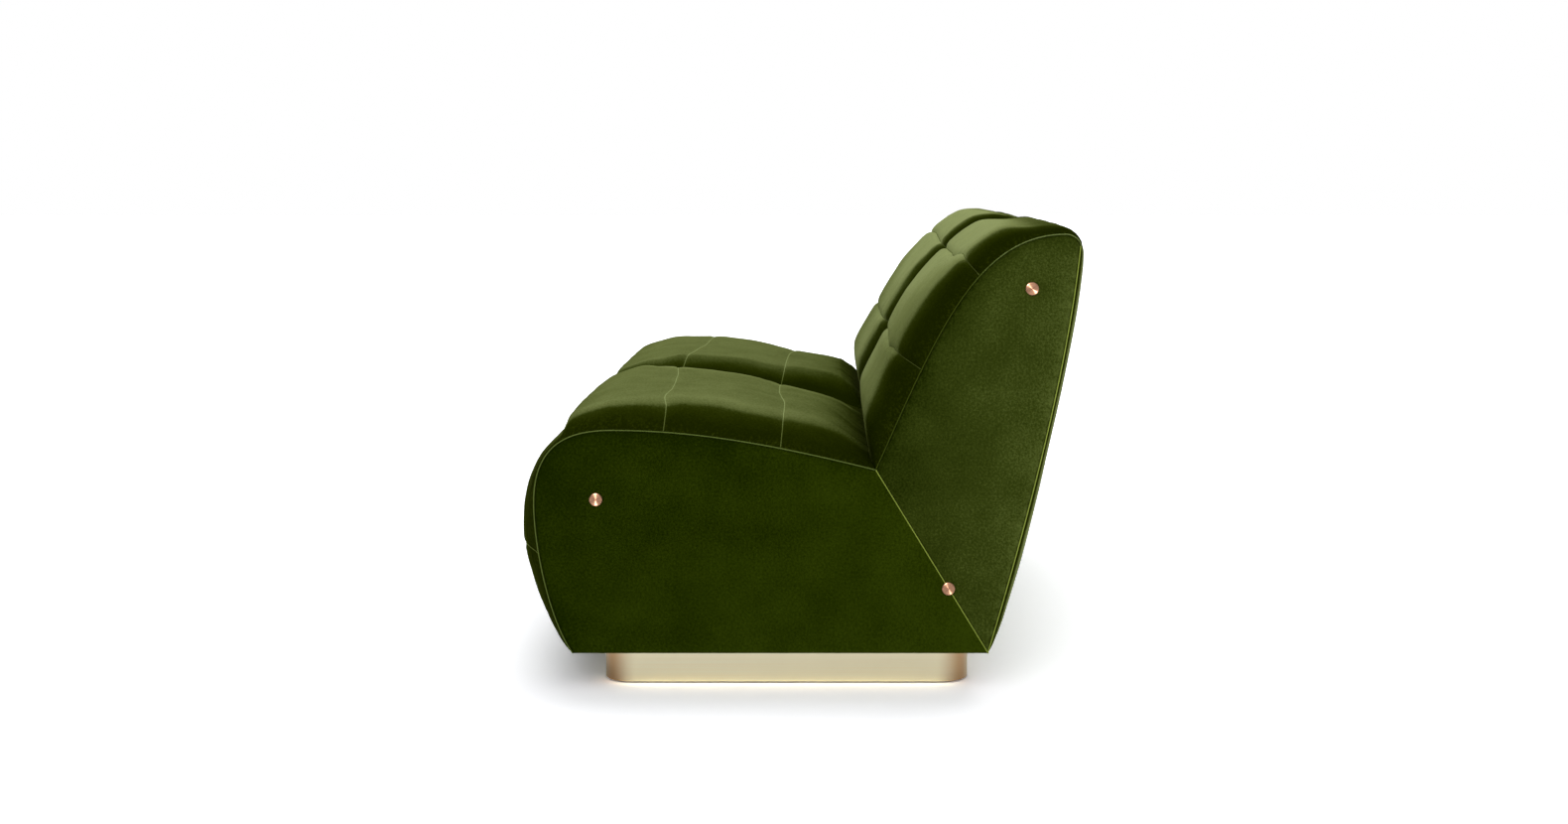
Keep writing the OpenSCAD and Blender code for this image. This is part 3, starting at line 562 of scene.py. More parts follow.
def painted_shading(s, v, form, side):
    """Painted sheen and shade of the velvet: dark at the foot of the side bands, lightest at the ridges and
    light on the faces, with painted highlights along one crest of each bay and along the seams, and painted
    shade in the puckers and creases."""
    t = from_edge(v) + 0.006 * waves(s, 0.05, 91 + side)
    u = np.clip(t / ridge_at(s, v, form), 0, 3)
    light = seat_light(u, v) if form is SEAT else back_light(u, v, s)
    light = light * (1 + (read_table(form.shine, s) - 1) * soft_step(u / 0.6))
    # A painted highlight along the crest on one side of each bay
    rim = form.rim * np.exp(-((u - 1.12) / 0.09) ** 2)
    light = light + rim * (side * v < 0) * ease(s, form.rim_from, 0.05)
    # Painted highlight along the seams, and painted shade in the puckers and creases with some painted
    # highlight on the puckers
    near_seam = sum(np.exp(-(np.abs(s - q) / SEAM_HIGHLIGHT_WIDTH) ** 1.5) for q in form.seams)
    gathers = puckers(s, v, form, side)
    folds = 0.30 * gathers + 0.45 * creases(s, v, form, side)
    return np.clip(PAINTED_SHADING_SCALE * ((light + 0.06 * near_seam) * (1 - folds) + 0.14 * gathers), 0, 1)


# Stores the painted sheen and shade as a point attribute that the velvets read
def add_painted_shading(obj, values):
    layer = obj.data.attributes.new("painted_shading", "FLOAT", "POINT")
    layer.data.foreach_set("value", np.ravel(values).astype(np.float32))


def make_cushion(name, node, form, side, material):
    """Makes a cushion and returns the paths of its cross seams, with the painted sheen and shade along each.
    """
    gathers = simulated_gathers(form, side)
    s, v = np.meshgrid(stations(form, FINE_STEP, BESIDE_SEAM), across(FINE_ACROSS), indexing="ij")
    height = cushion_height(form, side, s, v, gathers)
    verts, faces = closed_cushion(form, side, s, v, height)
    obj = make_object(name, verts, faces, material)
    add_painted_shading(obj, with_underside(painted_shading(s, v, form, side), 0.3))
    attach(obj, "root")
    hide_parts(node)
    threads, tones = [], []
    for q in form.seams:
        v_line = across(FINE_ACROSS)[1:-1]
        s_line = np.full_like(v_line, q)
        level = cushion_height(form, side, s_line, v_line, gathers) + 0.1 * THREAD_R
        threads.append(cover(form, side, s_line, v_line, level))
        # The seam threads take the painted sheen and shade beneath them, lighter by a painted highlight
        tones.append(painted_shading(s_line, v_line, form, side) + SEAM_HIGHLIGHT)
    return threads, tones


# Tubes: piping and seams
THREAD_R = 0.0009
BACK_THREAD_R = 0.7 * THREAD_R
PIPE_R = 0.001
JOINT_R = 0.001
TUBE_SIDES = 8
PIPE_STEP = 0.004

# Places of the piping across the body, and its height over the lines
PIPE_X = HALF_W - PIPE_R - 0.0004
JOINT_X = HALF_W - 0.0016
PIPE_LEVEL, REAR_PIPE_LEVEL = -0.0008, -0.0012


def tube_mesh(path, radius):
    """Points and faces of a closed tube along a path. Its first direction is carried along without twist."""
    ahead = unit(np.gradient(path, axis=0))
    up = np.array([1.0, 0, 0]) if abs(ahead[0][0]) < 0.9 else np.array([0, 0, 1.0])
    angles = np.arange(TUBE_SIDES) * 2 * math.pi / TUBE_SIDES
    points = []
    for p, t in zip(path, ahead):
        up = unit(up - t * (up @ t))
        right = np.cross(t, up)
        points += [p + radius * (math.cos(a) * up + math.sin(a) * right) for a in angles]
    return points, sleeve_faces(len(path), TUBE_SIDES)


def make_tubes(name, paths, radius, material, nodes=(), tones=()):
    """Tubes along paths, in one piece. tones gives the painted sheen and shade at the points of each path."""
    verts, faces = [], []
    for path in paths:
        points, rings = tube_mesh(path, radius)
        faces += [tuple(len(verts) + i for i in f) for f in rings]
        verts += points
    obj = make_object(name, verts, faces, material)
    if tones:
        add_painted_shading(obj, np.repeat(np.concatenate(tones), TUBE_SIDES))
    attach(obj, "root")
    if nodes:
        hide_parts(*nodes)


def line_path(side, line, ends, level):
    """The path of piping along a line."""
    s = np.linspace(0, line.length, int(line.length / PIPE_STEP))
    return to_space(side, PIPE_X, line.at(s) + level * line.way_out(s, *ends))


# Side panels
PANEL_INSET = 0.0024
PANEL_RINGS = (0.0006, 0.0015, 0.003, 0.005, 0.008, 0.012, 0.018)
PANEL_STEP = 0.018
MITER_LIMIT = 0.4
ON_EDGE = 1e-5

# Form of the padding: how far the front stands back at the edge, over what width, and the swells of the face
EDGE_SAG, SAG_REACH, PANEL_SWELL = 0.0006, 0.09, 0.0002
EDGE_FRONT, EDGE_REAR = CUSHION_X + 0.0006, CUSHION_X + 0.0001

# Width of the rounded edge beside the piping, at the joint, at the bottom and at the rear
AT_PIPING, AT_JOINT, AT_BOTTOM, AT_REAR = 0.004, 0.003, 0.006, 0.007

# The two panels of a side meet this far behind the joint of the blocks
JOINT_SHIFT = 0.0006

# Painted shading of the panels: (level at the middle, painted light gained per metre to the rear, painted
# light gained per metre up, painted shade beside the piping, painted highlight at the lower or rear edge),
# and how far the last two reach
SEAT_TONE = (0.485, 0.24, -0.24, -0.14, 0.12)
BACK_TONE = (0.49, 0.78, -0.06, -0.28, 0.45)
PIPING_REACH, EDGE_REACH = 0.011, 0.0045


def between(a, b, count):
    """Points on a straight line from a to b."""
    return a + np.linspace(0, 1, count)[:, None] * (b - a)


def inset(line, ends, count):
    """Points on a line, moved inwards by the inset of the panels."""
    s = np.linspace(0, line.length, count)
    return line.at(s) - PANEL_INSET * line.way_out(s, *ends)


def joined(*stretches):
    """The closed outline of a panel, and the width of the rounded edge at each of its points, from stretches
    given as (points, width). The stretches run clockwise and the outline runs anticlockwise."""
    outline = np.vstack([points for points, _ in stretches])
    rounds = np.concatenate([np.full(len(points), width) for points, width in stretches])
    return outline[::-1], rounds[::-1]


def seat_outline():
    joint = between(FOLD, HEEL, 60)[1:-1] - JOINT_SHIFT * left_of(joint_up)
    return joined((inset(seat_line, SEAT_ENDS, 230), AT_PIPING), (joint, AT_JOINT),
                  (between(HEEL, TOE, 110)[:-1], AT_BOTTOM))


def back_outline():
    joint = between(HEEL, FOLD, 60)[1:-1] - JOINT_SHIFT * left_of(joint_up)
    return joined((inset(back_line, BACK_ENDS, 150), AT_PIPING),
                  (inset(rear_line, REAR_ENDS, 170)[1:], AT_REAR), (joint, AT_JOINT))


def offset_ring(outline, depth):
    """The outline moved inwards by depth. It runs anticlockwise, so its inside is on the left."""
    behind, ahead = np.roll(outline, 1, 0), np.roll(outline, -1, 0)
    n1, n2 = left_of(unit(outline - behind)), left_of(unit(ahead - outline))
    miter = unit(n1 + n2)
    return outline + depth * miter / np.clip(np.sum(miter * n1, -1, keepdims=True), MITER_LIMIT, None)


def distance_to(outline, points):
    """Distance of each point to the closed outline, and the index of the nearest stretch."""
    a, b = outline, np.roll(outline, -1, 0)
    ab = b - a
    best, index = np.full(len(points), 1e9), np.zeros(len(points), int)
    for i in range(len(a)):
        t = np.clip(((points - a[i]) @ ab[i]) / (ab[i] @ ab[i]), 0, 1)
        d = np.linalg.norm(points - a[i] - t[:, None] * ab[i], axis=1)
        closer = d < best
        best[closer], index[closer] = d[closer], i
    return best, index


def filled(outline):
    """Points and faces of a flat sheet inside the outline, finer towards its edge."""
    low, high = outline.min(0), outline.max(0)
    rows = [np.arange(low[i], high[i], PANEL_STEP) for i in (0, 1)]
    inner = np.stack(np.meshgrid(*rows, indexing="ij"), -1).reshape(-1, 2)
    flat = np.vstack([outline, *(offset_ring(outline, depth) for depth in PANEL_RINGS), inner])
    count = len(outline)
    loop = [(i, (i + 1) % count) for i in range(count)]
    made = delaunay_2d_cdt([tuple(p) for p in flat], loop, [], 1, 1e-6)
    return np.array([tuple(p) for p in made[0]]), [tuple(f) for f in made[2]]


def distance_from(line, points):
    """Distance of each point to the nearest of some points on a line."""
    return np.min(np.linalg.norm(points[:, None] - line.points[None, ::6], axis=2), axis=1)


def panel_tone(points, shade):
    """Painted shading of a panel at its points: painted light across the panel, painted shade beside the
    piping and a painted highlight at the edge.
    """
    middle, rearward, upward, piping_shade, edge_highlight = shade
    offset = points - points.mean(0)
    tone = middle + rearward * offset[:, 0] + upward * offset[:, 1]
    if shade is SEAT_TONE:
        to_piping, to_edge = distance_from(seat_line, points), points[:, 1] - TOE[1]
    else:
        to_piping, to_edge = distance_from(back_line, points), distance_from(rear_line, points)
    return tone + piping_shade * np.exp(-to_piping / PIPING_REACH) + edge_highlight * np.exp(-to_edge / EDGE_REACH)


def make_panel(name, node, side, outline, rounds, material, shade):
    """A padded panel over a closed outline. rounds gives the width of its rounded edge at each point."""
    points, faces = filled(outline)
    d, stretch = distance_to(outline, points)
    u = np.clip(1 - d / rounds[stretch], 0, 1)
    x = CUSHION_X + PANEL_T * np.sqrt(np.clip(1 - u ** 2.2, 0, 1)) - EDGE_SAG * (1 - soft_step(d / SAG_REACH))
    x = x + PANEL_SWELL * patches(points[:, 0], points[:, 1], 0.05, 71)
    front = to_space(side, np.where(d < ON_EDGE, EDGE_FRONT, x), points)
    rim = np.flatnonzero(d < ON_EDGE)
    order = np.argsort([np.argmin(np.linalg.norm(outline - points[i], axis=1)) for i in rim])
    rim = rim[order].tolist()
    rear = to_space(side, EDGE_REAR, points[rim])
    first, count = len(points), len(rim)
    for i in range(count):
        j = (i + 1) % count
        faces.append((first + i, first + j, rim[j], rim[i]))
    faces.append(tuple(first + i for i in reversed(range(count))))
    obj = make_object(name, np.vstack([front, rear]), facing_out(faces, side), material)
    add_painted_shading(obj, np.r_[panel_tone(points, shade), np.full(count, 0.5)])
    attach(obj, "root")
    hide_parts(node)


# Outside back
OUTSIDE_SHADING = 0.50
OUTSIDE_T = 0.008
OUTSIDE_SWELL = 0.0006


def make_outside_back(material):
    s_row = np.linspace(0, rear_line.length, 150)
    v_row = -np.cos(math.pi * np.linspace(0, 1, 151))
    s, v = np.meshgrid(s_row, v_row, indexing="ij")
    at_edge = read_table(REAR_EDGE_CROWN, s)
    wall = np.sqrt(1 - v ** 120)
    rise = (at_edge + (read_table(REAR_CROWN, s) - at_edge) * np.sqrt(1 - v ** 8)) * wall
    swell = patches(s, v * CUSHION_X, 0.08, 83) * np.sqrt(np.clip(1 - v ** 4, 0, 1))
    rise = rise + OUTSIDE_SWELL * swell
    out = rear_line.way_out(s, *REAR_ENDS)
    upper = to_space(1, CUSHION_X * v, rear_line.at(s) + rise[..., None] * out)
    base = rear_line.at(s[:, [0, 0]]) - OUTSIDE_T * out[:, [0, 0]]
    ring = np.concatenate([upper, to_space(1, CUSHION_X * v[:, [-1, 0]], base)], axis=1)
    obj = make_object("outside_back", ring.reshape(-1, 3), sleeve_faces(*ring.shape[:2]), material)
    # Painted shading: darker where the wall turns down at the sides, with a painted highlight on its rounded
    # edge
    light = OUTSIDE_SHADING * (0.1 + 0.9 * ease(wall, 0.20, 0.25))
    add_painted_shading(obj, with_underside(light + 0.35 * np.exp(-((wall - 0.70) / 0.15) ** 2), 0.1))
    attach(obj, "root")
    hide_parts("outside_back_panel")


# Turned buttons: their places in the side view, and their form
FRONT_BUTTON = (0.106, 0.331)
JOINT_BUTTON_H = 0.178
TOP_BUTTON = (0.837, 0.686)
BUTTON_R = 0.0109
BUTTON_H = 0.0045
BUTTON_SIDES = 96
DISH_R = BUTTON_R - 0.0022
DISH_TOP = BUTTON_H - 0.0002
DISH_DEPTH = 0.0005
DISH_RINGS = 26
GROOVE_DEPTH = 0.00004


def button_profile():
    """The turned form as (radius, height), from the foot over a rounded rim to a dish with fine grooves."""
    profile = [(BUTTON_R - 0.0006, 0), (BUTTON_R, 0.0008), (BUTTON_R, BUTTON_H - 0.0013),
               (BUTTON_R - 0.0004, BUTTON_H - 0.0004), (BUTTON_R - 0.0013, BUTTON_H)]
    for k in range(DISH_RINGS):
        share = 1 - k / DISH_RINGS
        dish = DISH_DEPTH * (1 - share ** 2)
        profile.append((DISH_R * share, DISH_TOP - dish - GROOVE_DEPTH * (k % 2)))
    return profile


def make_button(name, side, place, material, first):
    profile = button_profile()
    angles = np.arange(BUTTON_SIDES) * 2 * math.pi / BUTTON_SIDES
    verts = [(r * math.cos(a), r * math.sin(a), h) for r, h in profile for a in angles]
    last = len(verts) - BUTTON_SIDES
    foot, middle = len(verts), len(verts) + 1
    verts += [(0, 0, 0), (0, 0, DISH_TOP - DISH_DEPTH)]
    faces = sleeve_faces(len(profile), BUTTON_SIDES)[:-2]
    for j in range(BUTTON_SIDES):
        k = (j + 1) % BUTTON_SIDES
        faces += [(k, j, foot), (last + j, last + k, middle)]
    obj = make_object(name, verts, faces, material)
    obj.rotation_euler = (0, side * math.pi / 2, 0)
    obj.location = (side * HALF_W, NOSE_Y + place[0], place[1])
    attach(obj, "root")
    if first:
        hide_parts("side_buttons")


# Materials
NOISE_ROUGHNESS = 0.55


class Nodes:
    """A material's node tree, with short calls for the few kinds of node that are used here."""

    def __init__(self, name, **sockets):
        self.material = bpy.data.materials.new(name)
        self.material.use_nodes = True
        self.tree = self.material.node_tree
        self.shader = self.tree.nodes["Principled BSDF"]
        for key, value in sockets.items():
            self.shader.inputs[key.replace("_", " ")].default_value = value
        self.coords = self.new("TexCoord")

    def new(self, kind):
        return self.tree.nodes.new("ShaderNode" + kind)

    def link(self, a, b):
        self.tree.links.new(a, b)

    def scaled(self, scale):
        node = self.new("Mapping")
        node.inputs["Scale"].default_value = scale
        self.link(self.coords.outputs["Object"], node.inputs["Vector"])
        return node.outputs["Vector"]

    def noise(self, scale, detail, vector=None):
        node = self.new("TexNoise")
        node.inputs["Scale"].default_value = scale
        node.inputs["Detail"].default_value = detail
        node.inputs["Roughness"].default_value = NOISE_ROUGHNESS
        self.link(vector or self.coords.outputs["Object"], node.inputs["Vector"])
        return node.outputs["Fac"]

    def attribute(self, name):
        node = self.new("Attribute")
        node.attribute_name = name
        return node.outputs["Fac"]

    def ramp(self, fac, stops):
        node = self.new("ValToRGB")
        elements = node.color_ramp.elements
        while len(elements) < len(stops):
            elements.new(0.5)
        for element, (place, color) in zip(elements, stops):
            element.position = place
            element.color = (*color, 1)
        self.link(fac, node.inputs["Fac"])
        return node.outputs["Color"]

    def math(self, kind, a, b):
        node = self.new("Math")
        node.operation = kind
        for socket, value in zip(node.inputs, (a, b)):
            if isinstance(value, (int, float)):
                socket.default_value = value
            else:
                self.link(value, socket)
        return node.outputs["Value"]

    def mix(self, fac, color, other):
        """A linked colour that turns into the other, given one as fac goes from 0 to 1."""
        node = self.new("Mix")
        node.data_type = "RGBA"
        self.link(fac, node.inputs[0])
        self.link(color, node.inputs[6])
        node.inputs[7].default_value = (*other, 1)
        return node.outputs[2]

    def dot(self, vector):
        """The object's coordinates times a vector."""
        node = self.new("VectorMath")
        node.operation = "DOT_PRODUCT"
        self.link(self.coords.outputs["Object"], node.inputs[0])
        node.inputs[1].default_value = vector
        return node.outputs["Value"]

    def away(self, axis, middle, reach):
        """How far past the reach a place lies from the middle, along an axis."""
        pick = [0.0, 0.0, 0.0]
        pick[axis] = 1.0
        off = self.math("ABSOLUTE", self.math("SUBTRACT", self.dot(pick), middle), 0)
        return self.math("SUBTRACT", off, reach)

    def ease(self, value, length):
        """Rises gently from 0 to 1 over a length."""
        node = self.new("MapRange")
        node.interpolation_type = "SMOOTHSTEP"
        self.link(value, node.inputs["Value"])
        node.inputs["From Max"].default_value = length
        return node.outputs["Result"]

    def bump(self, height, strength, distance):
        node = self.new("Bump")
        node.inputs["Strength"].default_value = strength
        node.inputs["Distance"].default_value = distance
        self.link(height, node.inputs["Height"])
        self.link(node.outputs["Normal"], self.shader.inputs["Normal"])

    def color(self, value):
        self.link(value, self.shader.inputs["Base Color"])


GATHERED_X, GATHERED_WIDTH = 0.690, 0.055
SHEEN_TINT = (0.52, 0.60, 0.14, 1)


def velvet(name, stops, sheen, speckle=0.0, drift=(0, 0, 0), start=0.0, fold_streaks=0.0):
    """Velvet with soft clouds. With speckle it follows the painted shading attribute, and without it gets
    lighter along drift. The last argument sets how strong the short streaks beside the outer piping are:
    painted shade and highlight of fine folds."""
    m = Nodes(name, Roughness=1.0, Sheen_Weight=sheen, Sheen_Roughness=0.12, Sheen_Tint=SHEEN_TINT,
              Specular_IOR_Level=0.0)
    cloud = m.noise(13, 4)
    mottle = m.noise(260, 3)
    grain = m.noise(900, 2)
    mixed = m.math("ADD", m.math("MULTIPLY", cloud, 0.25), m.math("MULTIPLY", mottle, 0.40))
    mixed = m.math("ADD", mixed, m.math("MULTIPLY", grain, 0.35))
    if speckle:
        mixed = m.math("MULTIPLY", m.math("SUBTRACT", mixed, 0.5), speckle)
        mixed = m.math("ADD", mixed, m.attribute("painted_shading"))
        # Painted shade and highlight of fine folds: light and dark streaks beside the outer piping
        beside = m.math("MULTIPLY", m.ease(m.away(0, 0, GATHERED_X), GATHERED_WIDTH), fold_streaks)
        streaks = m.math("SUBTRACT", m.noise(1, 2, m.scaled((12, 260, 260))), 0.47)
        mixed = m.math("ADD", mixed, m.math("MULTIPLY", streaks, beside))
    else:
        mixed = m.math("ADD", mixed, m.dot(drift))
        mixed = m.math("ADD", mixed, start)
    m.color(m.ramp(mixed, stops))
    m.bump(m.math("ADD", grain, m.math("MULTIPLY", mottle, 1.5)), 0.25, 0.0006)
    return m.material


def zinc_steel():
    m = Nodes("zinc_steel", Metallic=1.0, Roughness=0.35)
    streaks = m.noise(1, 3, m.scaled((60, 60, 60)))
    m.color(m.ramp(streaks, [(0.3, (0.50, 0.51, 0.53)), (0.7, (0.62, 0.63, 0.65))]))
    m.bump(streaks, 0.08, 0.0002)
    return m.material


# Width over which the rounded corners of the plinth take a painted dark reflection
CORNER_REFLECTION_FADE = 0.060


def plinth_brass():
    """Satin brass with fine level lines and a painted dark brown reflection towards its four corners."""
    m = Nodes("satin_brass", Metallic=1.0, Roughness=0.30, Anisotropic=0.4)
    streaks = m.noise(1, 3, m.scaled((3, 3, 900)))
    metal = m.ramp(streaks, [(0.3, (1.0, 0.88, 0.58)), (0.7, (1.0, 0.93, 0.66))])
    low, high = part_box("plinth_shell")
    middle, half = (low + high) / 2, (high - low) / 2
    # Painted reflection: the rounded corners turn dark brown
    near = [m.ease(m.away(axis, middle[axis], half[axis] - CORNER_REFLECTION_FADE), CORNER_REFLECTION_FADE) for axis in (0, 1)]
    m.color(m.mix(m.math("MULTIPLY", *near), metal, (0.38, 0.14, 0.015)))
    m.bump(streaks, 0.06, 0.0002)
    return m.material


def wood(name, dark, light):
    m = Nodes(name, Roughness=0.6)
    m.color(m.ramp(m.noise(1, 4, m.scaled((6, 90, 90))), [(0.3, dark), (0.7, light)]))
    return m.material


def plain_fabric(name, dark, light, scale):
    m = Nodes(name, Roughness=0.9)
    fac = m.noise(scale, 3)
    m.color(m.ramp(fac, [(0.3, dark), (0.7, light)]))
    m.bump(fac, 0.3, 0.0005)
    return m.material


def turned_copper():
    """Copper with fine rings: it is rough across the rings and smooth along them."""
    m = Nodes("turned_copper", Metallic=1.0, Roughness=0.35, Anisotropic=0.95, Anisotropic_Rotation=0.25)
    tangent = m.new("Tangent")
    tangent.direction_type = "RADIAL"
    tangent.axis = "Z"
    m.link(tangent.outputs["Tangent"], m.shader.inputs["Tangent"])
    fac = m.noise(1, 2, m.scaled((400, 400, 40)))
    m.color(m.ramp(fac, [(0.3, (0.42, 0.21, 0.12)), (0.7, (0.50, 0.27, 0.17))]))
    return m.material


# Velvets, with their colours from dark to light: (value of the painted sheen and shade, colour)
OLIVE = [(0.04, (0.010, 0.015, 0.0003)), (0.20, (0.019, 0.027, 0.0008)), (0.32, (0.034, 0.046, 0.005)),
         (0.50, (0.088, 0.108, 0.027)), (0.80, (0.200, 0.235, 0.080)), (1.0, (0.290, 0.335, 0.132))]
VELVET = velvet("velvet_cushion", OLIVE, 0.12, 0.80, fold_streaks=0.9)
OUTSIDE_VELVET = velvet("velvet_outside_back", OLIVE, 0.12, 0.80)
SIDE_DARK = velvet("velvet_seat_side", [
    (0.30, (0.008, 0.015, 0.0001)), (0.50, (0.0185, 0.0305, 0.0006)),
    (0.70, (0.031, 0.049, 0.002))], 0.02, 1.5)
SIDE_LIGHT = velvet("velvet_back_side", [
    (0.20, (0.010, 0.017, 0.0003)), (0.50, (0.036, 0.051, 0.0055)),
    (0.80, (0.100, 0.130, 0.027))], 0.03, 1.3)
PIPING = velvet("velvet_piping", [(0.25, (0.08, 0.11, 0.020)), (0.75, (0.13, 0.17, 0.045))], 0.03)
BACK_PIPING = velvet("velvet_back_piping", [
    (0.40, (0.042, 0.058, 0.006)), (0.55, (0.070, 0.096, 0.016)), (0.75, (0.15, 0.19, 0.06))], 0.03,
    drift=(0, 0, 3.4), start=-2.40)
BACK_THREAD = velvet("velvet_back_seam", [
    (0.25, (0.060, 0.080, 0.014)), (0.75, (0.105, 0.130, 0.034))], 0.03)
SEAM = velvet("velvet_seat_seam", [
    (0.10, (0.050, 0.065, 0.010)), (0.45, (0.120, 0.150, 0.036)), (1.0, (0.330, 0.385, 0.155))], 0.03, 0.5)
THREAD = velvet("velvet_seam", [(0.25, (0.20, 0.26, 0.035)), (0.75, (0.33, 0.41, 0.075))], 0.03)
COPPER = turned_copper()
SLOT_MATERIALS = {
    "timber": wood("pine_timber", (0.55, 0.38, 0.20), (0.68, 0.50, 0.30)),
    "plywood": wood("birch_plywood", (0.50, 0.36, 0.20), (0.62, 0.47, 0.28)),
    "foam": plain_fabric("cream_foam", (0.78, 0.72, 0.52), (0.86, 0.81, 0.62), 300),
    "webbing": plain_fabric("black_webbing", (0.018, 0.018, 0.020), (0.035, 0.035, 0.038), 500),
    "lining": plain_fabric("black_lining", (0.010, 0.010, 0.011), (0.022, 0.022, 0.024), 700),
    "felt": plain_fabric("grey_felt", (0.08, 0.075, 0.07), (0.13, 0.12, 0.11), 600),
    "steel": zinc_steel(),
    "copper": COPPER,
    "brass_plinth": plinth_brass(),
    "velvet": VELVET,
    "velvet_side": SIDE_DARK,
    "piping": PIPING,
}


def dress_solids():
    """Gives every solid of the construction the material of its slot."""
    for part in frame["record"]["subparts"]:
        node = frame["nodes"][part["node"]]
        node.data.materials.clear()
        node.data.materials.append(SLOT_MATERIALS[part["material_slot"]])


# Stage, light and camera. The floor and the world are brighter to the camera than as light.
FLOOR_HALF = 30
FLOOR_COLOR, FLOOR_SEEN = 0.98, 1.62
FLOOR_TINT = (0.99, 0.995, 1.02)
AMBIENT, WORLD_SEEN = 0.45, 1.0

# The camera, as solved from the photo. It looks along -X and a little down.
CAMERA_PLACE = (4.05, NOSE_Y + 0.5134, 0.892)
CAMERA_DOWN = 7.125
LENS = 45.57
LENS_SHIFT = -0.0342


def seen_level(tree, level, seen):
    """A number in a node tree: seen for the camera's rays, and level for all others."""
    path = tree.nodes.new("ShaderNodeLightPath")
    node = tree.nodes.new("ShaderNodeMath")
    node.operation = "MULTIPLY_ADD"
    tree.links.new(path.outputs["Is Camera Ray"], node.inputs[0])
    node.inputs[1].default_value = seen - level
    node.inputs[2].default_value = level
    return node.outputs[0]


def make_floor():
    corners = [(x * FLOOR_HALF, y * FLOOR_HALF, 0) for x, y in ((-1, -1), (1, -1), (1, 1), (-1, 1))]
    obj = make_object("studio_floor", corners, [(0, 1, 2, 3)], smooth=False)
    material = bpy.data.materials.new("white_floor")
    material.use_nodes = True
    tree = material.node_tree
    tree.nodes.remove(tree.nodes["Principled BSDF"])
    diffuse = tree.nodes.new("ShaderNodeBsdfDiffuse")
    color = tree.nodes.new("ShaderNodeVectorMath")
    color.operation = "SCALE"
    color.inputs[0].default_value = FLOOR_TINT
    tree.links.new(seen_level(tree, FLOOR_COLOR, FLOOR_SEEN), color.inputs["Scale"])
    tree.links.new(color.outputs["Vector"], diffuse.inputs["Color"])
    tree.links.new(diffuse.outputs[0], tree.nodes["Material Output"].inputs["Surface"])
    obj.data.materials.append(material)


def make_world():
    world = bpy.data.worlds.new("studio")
    bpy.context.scene.world = world
    world.use_nodes = True
    tree = world.node_tree
    background = tree.nodes["Background"]
    background.inputs["Color"].default_value = (1, 1, 1, 1)
    tree.links.new(seen_level(tree, AMBIENT, WORLD_SEEN), background.inputs["Strength"])


def add_sun(name, place, spread, strength):
    """A soft light as even as a studio's wall of lamps. place is the way it comes from."""
    lamp = bpy.data.lights.new(name, "SUN")
    lamp.angle = math.radians(spread)
    lamp.energy = strength
    obj = add_object(name, lamp)
    obj.rotation_euler = Vector(place).to_track_quat("Z", "Y").to_euler()


def add_glint(name, place, target, size, power):
    """A soft box that only shows as a reflection in metal."""
    lamp = bpy.data.lights.new(name, "AREA")
    lamp.shape = "RECTANGLE"
    lamp.size, lamp.size_y = size
    lamp.energy = power
    obj = add_object(name, lamp)
    obj.location = place
    obj.rotation_euler = (Vector(place) - Vector(target)).to_track_quat("Z", "Y").to_euler()
    obj.visible_diffuse = False
    obj.visible_camera = False


def make_camera():
    data = bpy.data.cameras.new("camera")
    data.sensor_width = 36
    data.lens = LENS
    data.shift_x = LENS_SHIFT
    camera = add_object("camera", data)
    camera.location = CAMERA_PLACE
    camera.rotation_euler = (math.radians(90 - CAMERA_DOWN), 0, math.radians(90))
    bpy.context.scene.camera = camera


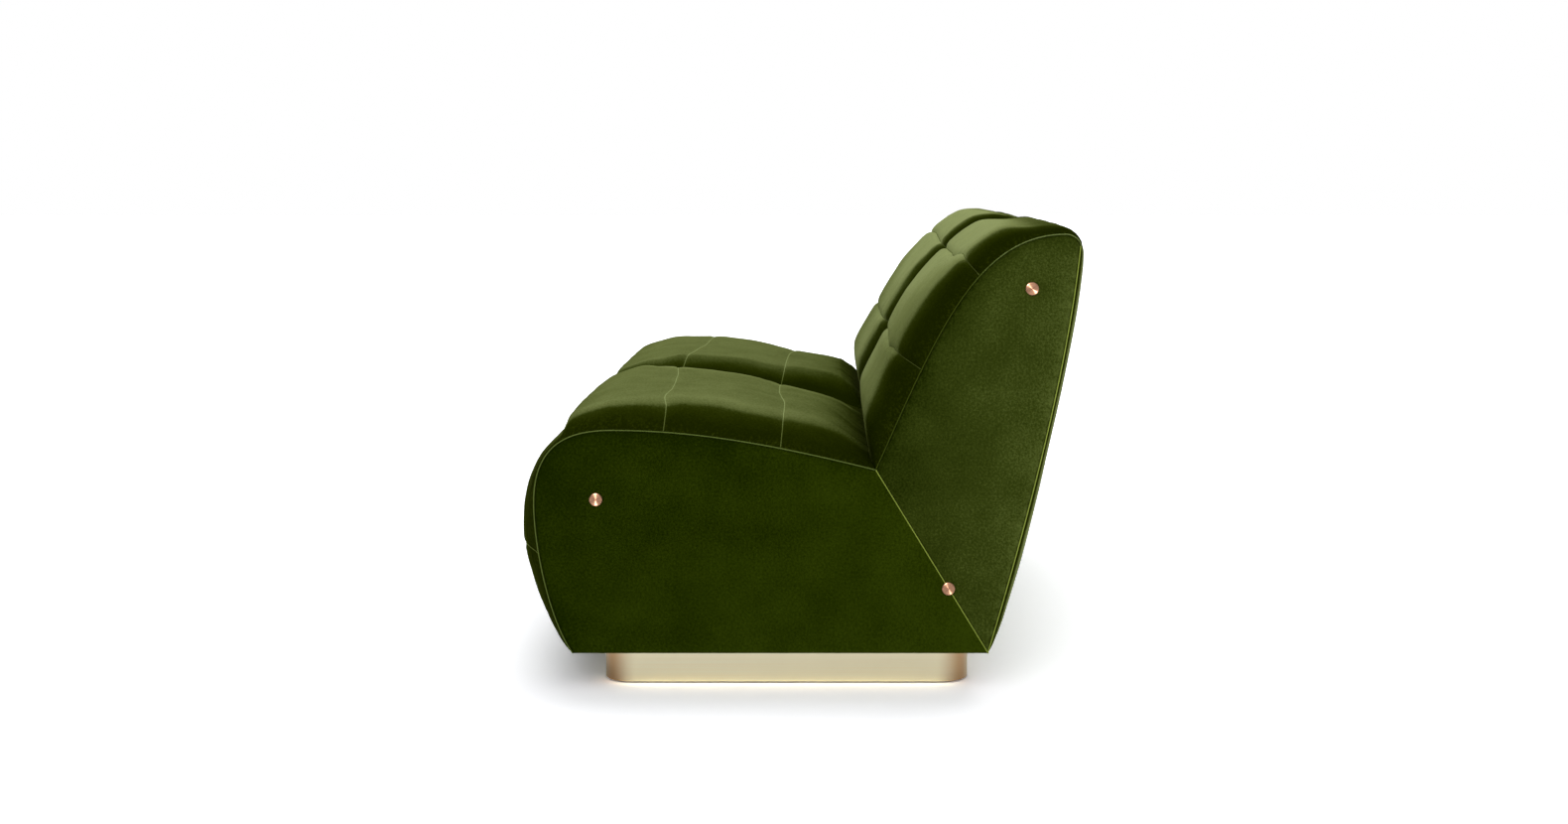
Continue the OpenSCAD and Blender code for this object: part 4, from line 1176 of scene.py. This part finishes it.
def make_covers(side, word):
    """The cushions of one bay, with the raised threads of their cross seams."""
    threads, tones = make_cushion(f"seat_cover_{word}", f"seat_cushion_{word}", SEAT, side, VELVET)
    back_threads, _ = make_cushion(f"back_cover_{word}", f"back_cushion_{word}", BACK, side, VELVET)
    make_tubes(f"seat_seams_{word}", threads, THREAD_R, SEAM, tones=tones)
    make_tubes(f"back_seams_{word}", back_threads, BACK_THREAD_R, BACK_THREAD)


def make_side(side, word):
    """The panels, the piping and the buttons of one side."""
    make_panel(f"seat_side_{word}", f"seat_side_panel_{word}", side, *seat_outline(), SIDE_DARK, SEAT_TONE)
    make_panel(f"back_side_{word}", f"back_side_panel_{word}", side, *back_outline(), SIDE_LIGHT, BACK_TONE)
    make_tubes(f"seat_welt_{word}", [line_path(side, seat_line, SEAT_ENDS, PIPE_LEVEL)], PIPE_R, PIPING,
               [f"seat_piping_{word}"])
    make_tubes(f"back_welt_{word}", [line_path(side, back_line, BACK_ENDS, PIPE_LEVEL)], PIPE_R, BACK_PIPING,
               [f"back_piping_{word}"])
    make_tubes(f"rear_welt_{word}", [line_path(side, rear_line, REAR_ENDS, REAR_PIPE_LEVEL)], JOINT_R, THREAD)
    make_tubes(f"joint_welt_{word}", [to_space(side, JOINT_X, between(FOLD, HEEL, 90))], JOINT_R, THREAD)
    joint_button = FOLD + (FOLD[1] - JOINT_BUTTON_H) / (FOLD[1] - HEEL[1]) * (HEEL - FOLD)
    for number, place in enumerate((FRONT_BUTTON, joint_button, TOP_BUTTON), 1):
        make_button(f"button_{word}_{number}", side, place, COPPER, side > 0 and number == 1)


bpy.context.scene.view_settings.view_transform = "Standard"
dress_solids()
for side, word in ((1, "left"), (-1, "right")):
    make_covers(side, word)
    make_side(side, word)
make_outside_back(OUTSIDE_VELVET)

make_floor()
make_world()
add_sun("overhead", place=(-0.50, 0.08, 1.0), spread=50, strength=1.3)
add_sun("camera_side", place=(1.0, -0.1, 0.6), spread=60, strength=0.93)
add_glint("button_glint", place=(3.15, -0.74, 1.85), target=(0.75, 0.10, 0.45), size=(0.8, 0.8), power=170)
make_camera()
